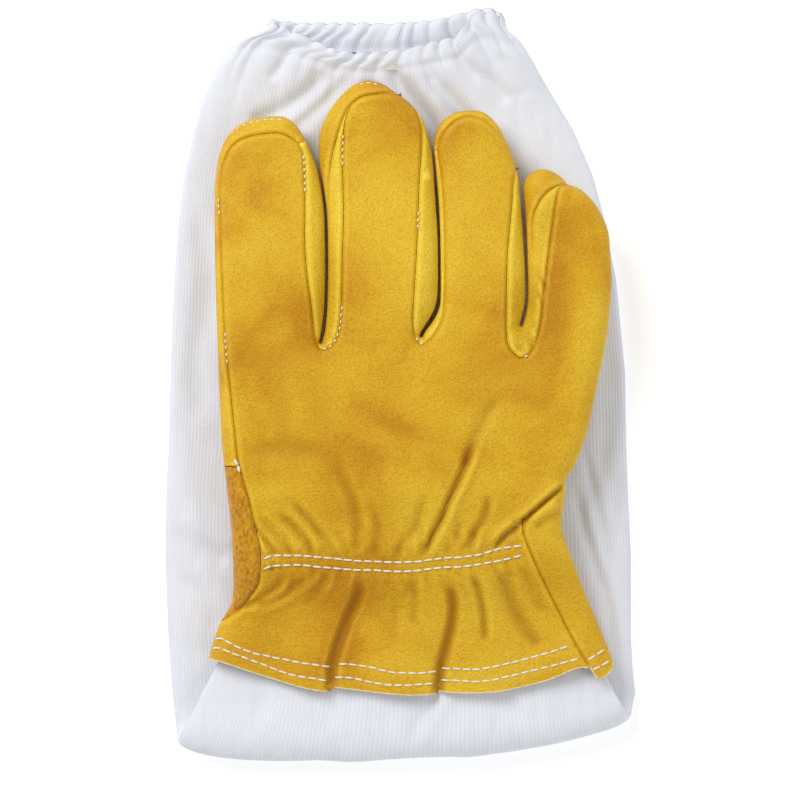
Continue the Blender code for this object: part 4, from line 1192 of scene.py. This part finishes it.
def mouth_ring(nominal, reach):
    """A ring near the mouth. reach is 0 well down the sleeve and 1 at the mouth's edge."""
    high = PLY_HEIGHT + (MOUTH_TOP - PLY_HEIGHT) * smoothstep(nominal, 96, 124)
    x, height = ring(nominal, LONG_SIDES, 0.3, high)
    upper, lower = (np.interp(x, *np.array(edge).T) for edge in (UPPER_EDGE, LOWER_EDGE))
    edge = np.where(UPPER > 0, upper, lower)
    y = nominal + (edge - MOUTH_Y) * reach**1.6
    away = (1 - reach) * MOUTH_RUN
    fine = pleat_wave(PLEATS / 2, 3) * 2.7 * np.exp(-((away / 13) ** 2))
    broad = pleat_wave(8, 5) * 2.0 * np.exp(-(((away - 14) / 15) ** 2))
    edge_fade = smoothstep(1 - np.abs(ACROSS), 0.0, 0.06)
    casing = 0.5 * smoothstep(-away, -9.5, -6.0) - 0.45 * np.exp(-(((away - 9.0) / 2.0) ** 2))
    rise = fine + broad + casing - 1.6 * np.exp(-((away / 26) ** 2))
    y = y + 0.35 * fine * reach**3
    return x, y, height + rise * edge_fade * np.where(UPPER > 0, 1.0, 0.75)


def inner_ring(deep, gap):
    """A ring a gap inside the sleeve's wall, a depth in from the mouth's edge."""
    x, y, height = mouth_ring(MOUTH_Y - deep, 1 - deep / MOUTH_RUN)
    return np.column_stack([x - np.sign(ACROSS) * np.abs(ACROSS) ** 8 * gap, y,
                            height + np.where(UPPER > 0, -gap, gap)])


def stub_flatness(nominal):
    """How thick the short part is against the long one: it flattens towards the cuff that holds it."""
    return 1 - 0.28 * smoothstep(nominal, -131, -110) - 0.1 * smoothstep(nominal, -108, -92)


def ring_faces(count):
    """Faces between the neighbouring rings of the sleeve. lay_weave relies on where each one starts."""
    return [(a, d, c, b) for a, b, c, d in grid_faces(count, SLEEVE_COLUMNS, wraps=True)]


def make_sleeve():
    """One tube of cloth: the turned-in casing, the mouth, the long part, the fold and the short part."""
    rings = []
    for share in np.linspace(0, 1, 12)[::-1]:
        swell = math.sqrt(max(0.0, 1 - (1 - min(1.0, share * 4)) ** 2)) * CASING_THICK
        rings.append(inner_ring(share * CASING_DEPTH, swell))
    for reach in np.linspace(1, 0, 78)[1:]:
        nominal = MOUTH_Y - (1 - reach) * MOUTH_RUN
        rings.append(np.column_stack(mouth_ring(nominal, reach)))
    for nominal in np.arange(MOUTH_Y - MOUTH_RUN - 1.8, FOLD_TURN_Y, -1.8):
        x, height = ring(nominal, LONG_SIDES, 0.3, PLY_HEIGHT)
        rings.append(np.column_stack([x, np.full(len(x), nominal), height]))
    level = ring(FOLD_TURN_Y, LONG_SIDES, 0.3, PLY_HEIGHT)[1]
    for turn in np.linspace(0, math.pi, 33):
        share = smoothstep(turn / math.pi, 0.42, 0.58)
        nominal = FOLD_TURN_Y - FOLD_REACH * math.sin(turn)
        first = ring(nominal, LONG_SIDES, 0.3, PLY_HEIGHT)[0]
        last = ring(nominal, STUB_SIDES, 0.3, PLY_HEIGHT)[0]
        away = (FOLD_Z - level) * (stub_flatness(nominal) if turn > math.pi / 2 else 1.0)
        reach = FOLD_REACH * (0.12 + 0.88 * (FOLD_Z - level) / FOLD_Z)
        rings.append(np.column_stack([first * (1 - share) + last * share,
                                      FOLD_TURN_Y - reach * math.sin(turn),
                                      FOLD_Z - away * math.cos(turn)]))
    for nominal in np.arange(FOLD_TURN_Y + 1.6, -86.0, 1.6):
        x, height = ring(nominal, STUB_SIDES, 0.3, PLY_HEIGHT)
        flatness = stub_flatness(nominal)
        high = FOLD_Z + (FOLD_Z - 0.3) * flatness
        closing = 1 - 0.25 * smoothstep(nominal, -112, -92)
        height = high - (high - FOLD_Z - (FOLD_Z - height) * flatness) * closing
        rings.append(np.column_stack([x, np.full(len(x), nominal), height]))
    grid = np.array(rings)
    points = grid.reshape(-1, 3)
    sleeve_relief(points, len(rings))
    faces = ring_faces(len(rings))
    sleeve = mesh_piece("canvas_sleeve", (points, faces), CANVAS, weld=0)
    lay_weave(sleeve.data, grid)
    return sleeve


def sleeve_relief(points, count):
    """Moves the sleeve's points by its creases and soft unevenness, in place."""
    x, y, z = points.T
    upper = np.tile(UPPER, count) > 0
    flat = points[:, :2].copy()
    stub = (z > FOLD_Z) & (y < 0)
    centred = np.tile(np.sqrt(np.maximum(0, 1 - np.abs(ACROSS) ** 4)), count)
    soft = 0.8 * lumps(x, y, 38, 41) + 0.35 * lumps(x, y, 14, 42) + 0.12 * lumps(x, y, 5, 43)
    free = smoothstep(108 - y, 0, 35) * smoothstep(y, -104, -88)
    top = upper & ~stub
    shift = (soft * free + 1.4 * crease_relief(flat, SLEEVE_CREASES)) * centred
    points[:, 2] = np.where(top, np.maximum(z + shift, 2.2), z)
    top = ~upper & stub
    folded = crease_relief(flat, STUB_CREASES) + 0.5 * lumps(x, y, 24, 51) + 0.15 * lumps(x, y, 7, 52)
    shift = folded * centred * smoothstep(y, -131, -116)
    points[:, 2] = np.where(top, points[:, 2] + shift, points[:, 2])
    line = np.interp(x, *np.array(FOLD_LINE).T) * smoothstep(-y, 96, 128)
    points[:, 1] += line + 0.5 * lumps(x, z, 14, 61) * smoothstep(-y, 118, 130)


def lay_weave(mesh, grid):
    """A UV map in millimetres of cloth: X round the tube and Y along it."""
    rows, columns = grid.shape[:2]
    around = np.arange(columns) * WEAVE_WIDTH / columns
    along = np.concatenate([[0], np.cumsum(np.linalg.norm(np.diff(grid, axis=0), axis=2).mean(axis=1))])
    weave = mesh.uv_layers.new(name="weave")
    values = np.empty((rows - 1, columns, 4, 2))
    values[:, :, 0, 1] = values[:, :, 3, 1] = along[:-1, None]
    values[:, :, 1, 1] = values[:, :, 2, 1] = along[1:, None]
    values[:, :, 0, 0] = values[:, :, 1, 0] = around
    values[:, :, 2, 0] = values[:, :, 3, 0] = around + WEAVE_WIDTH / columns
    weave.data.foreach_set("uv", values.reshape(-1).astype(np.float32))


def make_mouth_elastic():
    """The band inside the casing, part way between its two walls."""
    rings = [inner_ring(deep, CASING_THICK / 2) for deep in (3.0, 4.5, 6.0, 7.5, 9.0)]
    faces = ring_faces(len(rings))
    return mesh_piece("elastic_at_mouth", (np.vstack(rings), faces), ELASTIC, weld=0)


def dress(piece, body, slot, *nodes):
    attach(piece, body)
    if nodes:
        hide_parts(*nodes)


dress(make_back(), "glove", "goatskin_leather", "back_panel")
dress(make_palm(), "glove", "goatskin_leather", "palm_panel")
dress(make_cuff(), "glove", "goatskin_leather", "palm_cuff")
dress(make_suede(), "glove", "suede", "suede_side_patch")
for piece, node in zip(make_fourchettes(), ("fourchette_index_middle", "fourchette_middle_ring",
                                            "fourchette_ring_little")):
    dress(piece, "glove", "goatskin_leather", node)
dress(make_stitches(), "glove", "goatskin_leather")
dress(make_wrist_elastic(), "glove", "elastic", "wrist_elastic")
for piece, node in zip(make_thumb(), ("thumb_back", "thumb_front")):
    dress(piece, "thumb", "goatskin_leather", node)
dress(make_mouth_elastic(), "sleeve", "elastic", "mouth_elastic")

sleeve = make_sleeve()
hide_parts("sleeve_tube", "sleeve_stub", "mouth_casing")
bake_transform(sleeve)


# Stage, light and camera.


def light(name, place, size, power, aim=(0.0, 0.0, 0.0)):
    lamp = bpy.data.lights.new(name, "AREA")
    lamp.shape = "DISK"
    lamp.size = size
    lamp.energy = power
    made = bpy.data.objects.new(name, lamp)
    bpy.context.scene.collection.objects.link(made)
    made.location = place
    made.rotation_mode = "QUATERNION"
    made.rotation_quaternion = (Vector(aim) - Vector(place)).to_track_quat("-Z", "Y")


def make_stage():
    mesh = bpy.data.meshes.new("floor")
    mesh.from_pydata([(-3, -3, 0), (3, -3, 0), (3, 3, 0), (-3, 3, 0)], [], [(0, 1, 2, 3)])
    floor = bpy.data.objects.new("floor", mesh)
    bpy.context.scene.collection.objects.link(floor)
    made, nodes, links = new_material("pale_floor")
    nodes["Principled BSDF"].inputs["Base Color"].default_value = (0.93, 0.93, 0.93, 1.0)
    nodes["Principled BSDF"].inputs["Roughness"].default_value = 0.9
    nodes["Principled BSDF"].inputs["Emission Color"].default_value = (1.0, 1.0, 1.0, 1.0)
    nodes["Principled BSDF"].inputs["Emission Strength"].default_value = 0.3
    mesh.materials.append(made)
    world = bpy.data.worlds.new("soft_sky")
    world.use_nodes = True
    world.node_tree.nodes["Background"].inputs["Color"].default_value = (1.0, 1.0, 1.0, 1.0)
    world.node_tree.nodes["Background"].inputs["Strength"].default_value = 0.52
    bpy.context.scene.world = world
    light("key", (-0.7, 0.75, 1.1), 0.8, 13.0)
    light("fill", (0.9, -0.4, 1.2), 0.9, 4.5)
    bpy.context.scene.view_settings.view_transform = "Standard"


def make_camera():
    """Straight above, as far off as a long lens needs for the frame to be frame_width across."""
    lens, sensor, frame_width, subject_level = 150.0, 36.0, 0.280, 0.020
    camera = bpy.data.cameras.new("camera")
    camera.lens = lens
    camera.sensor_width = sensor
    holder = bpy.data.objects.new("camera", camera)
    bpy.context.scene.collection.objects.link(holder)
    holder.location = (0.0005, -0.0047, subject_level + frame_width * lens / sensor)
    bpy.context.scene.camera = holder


make_stage()
make_camera()
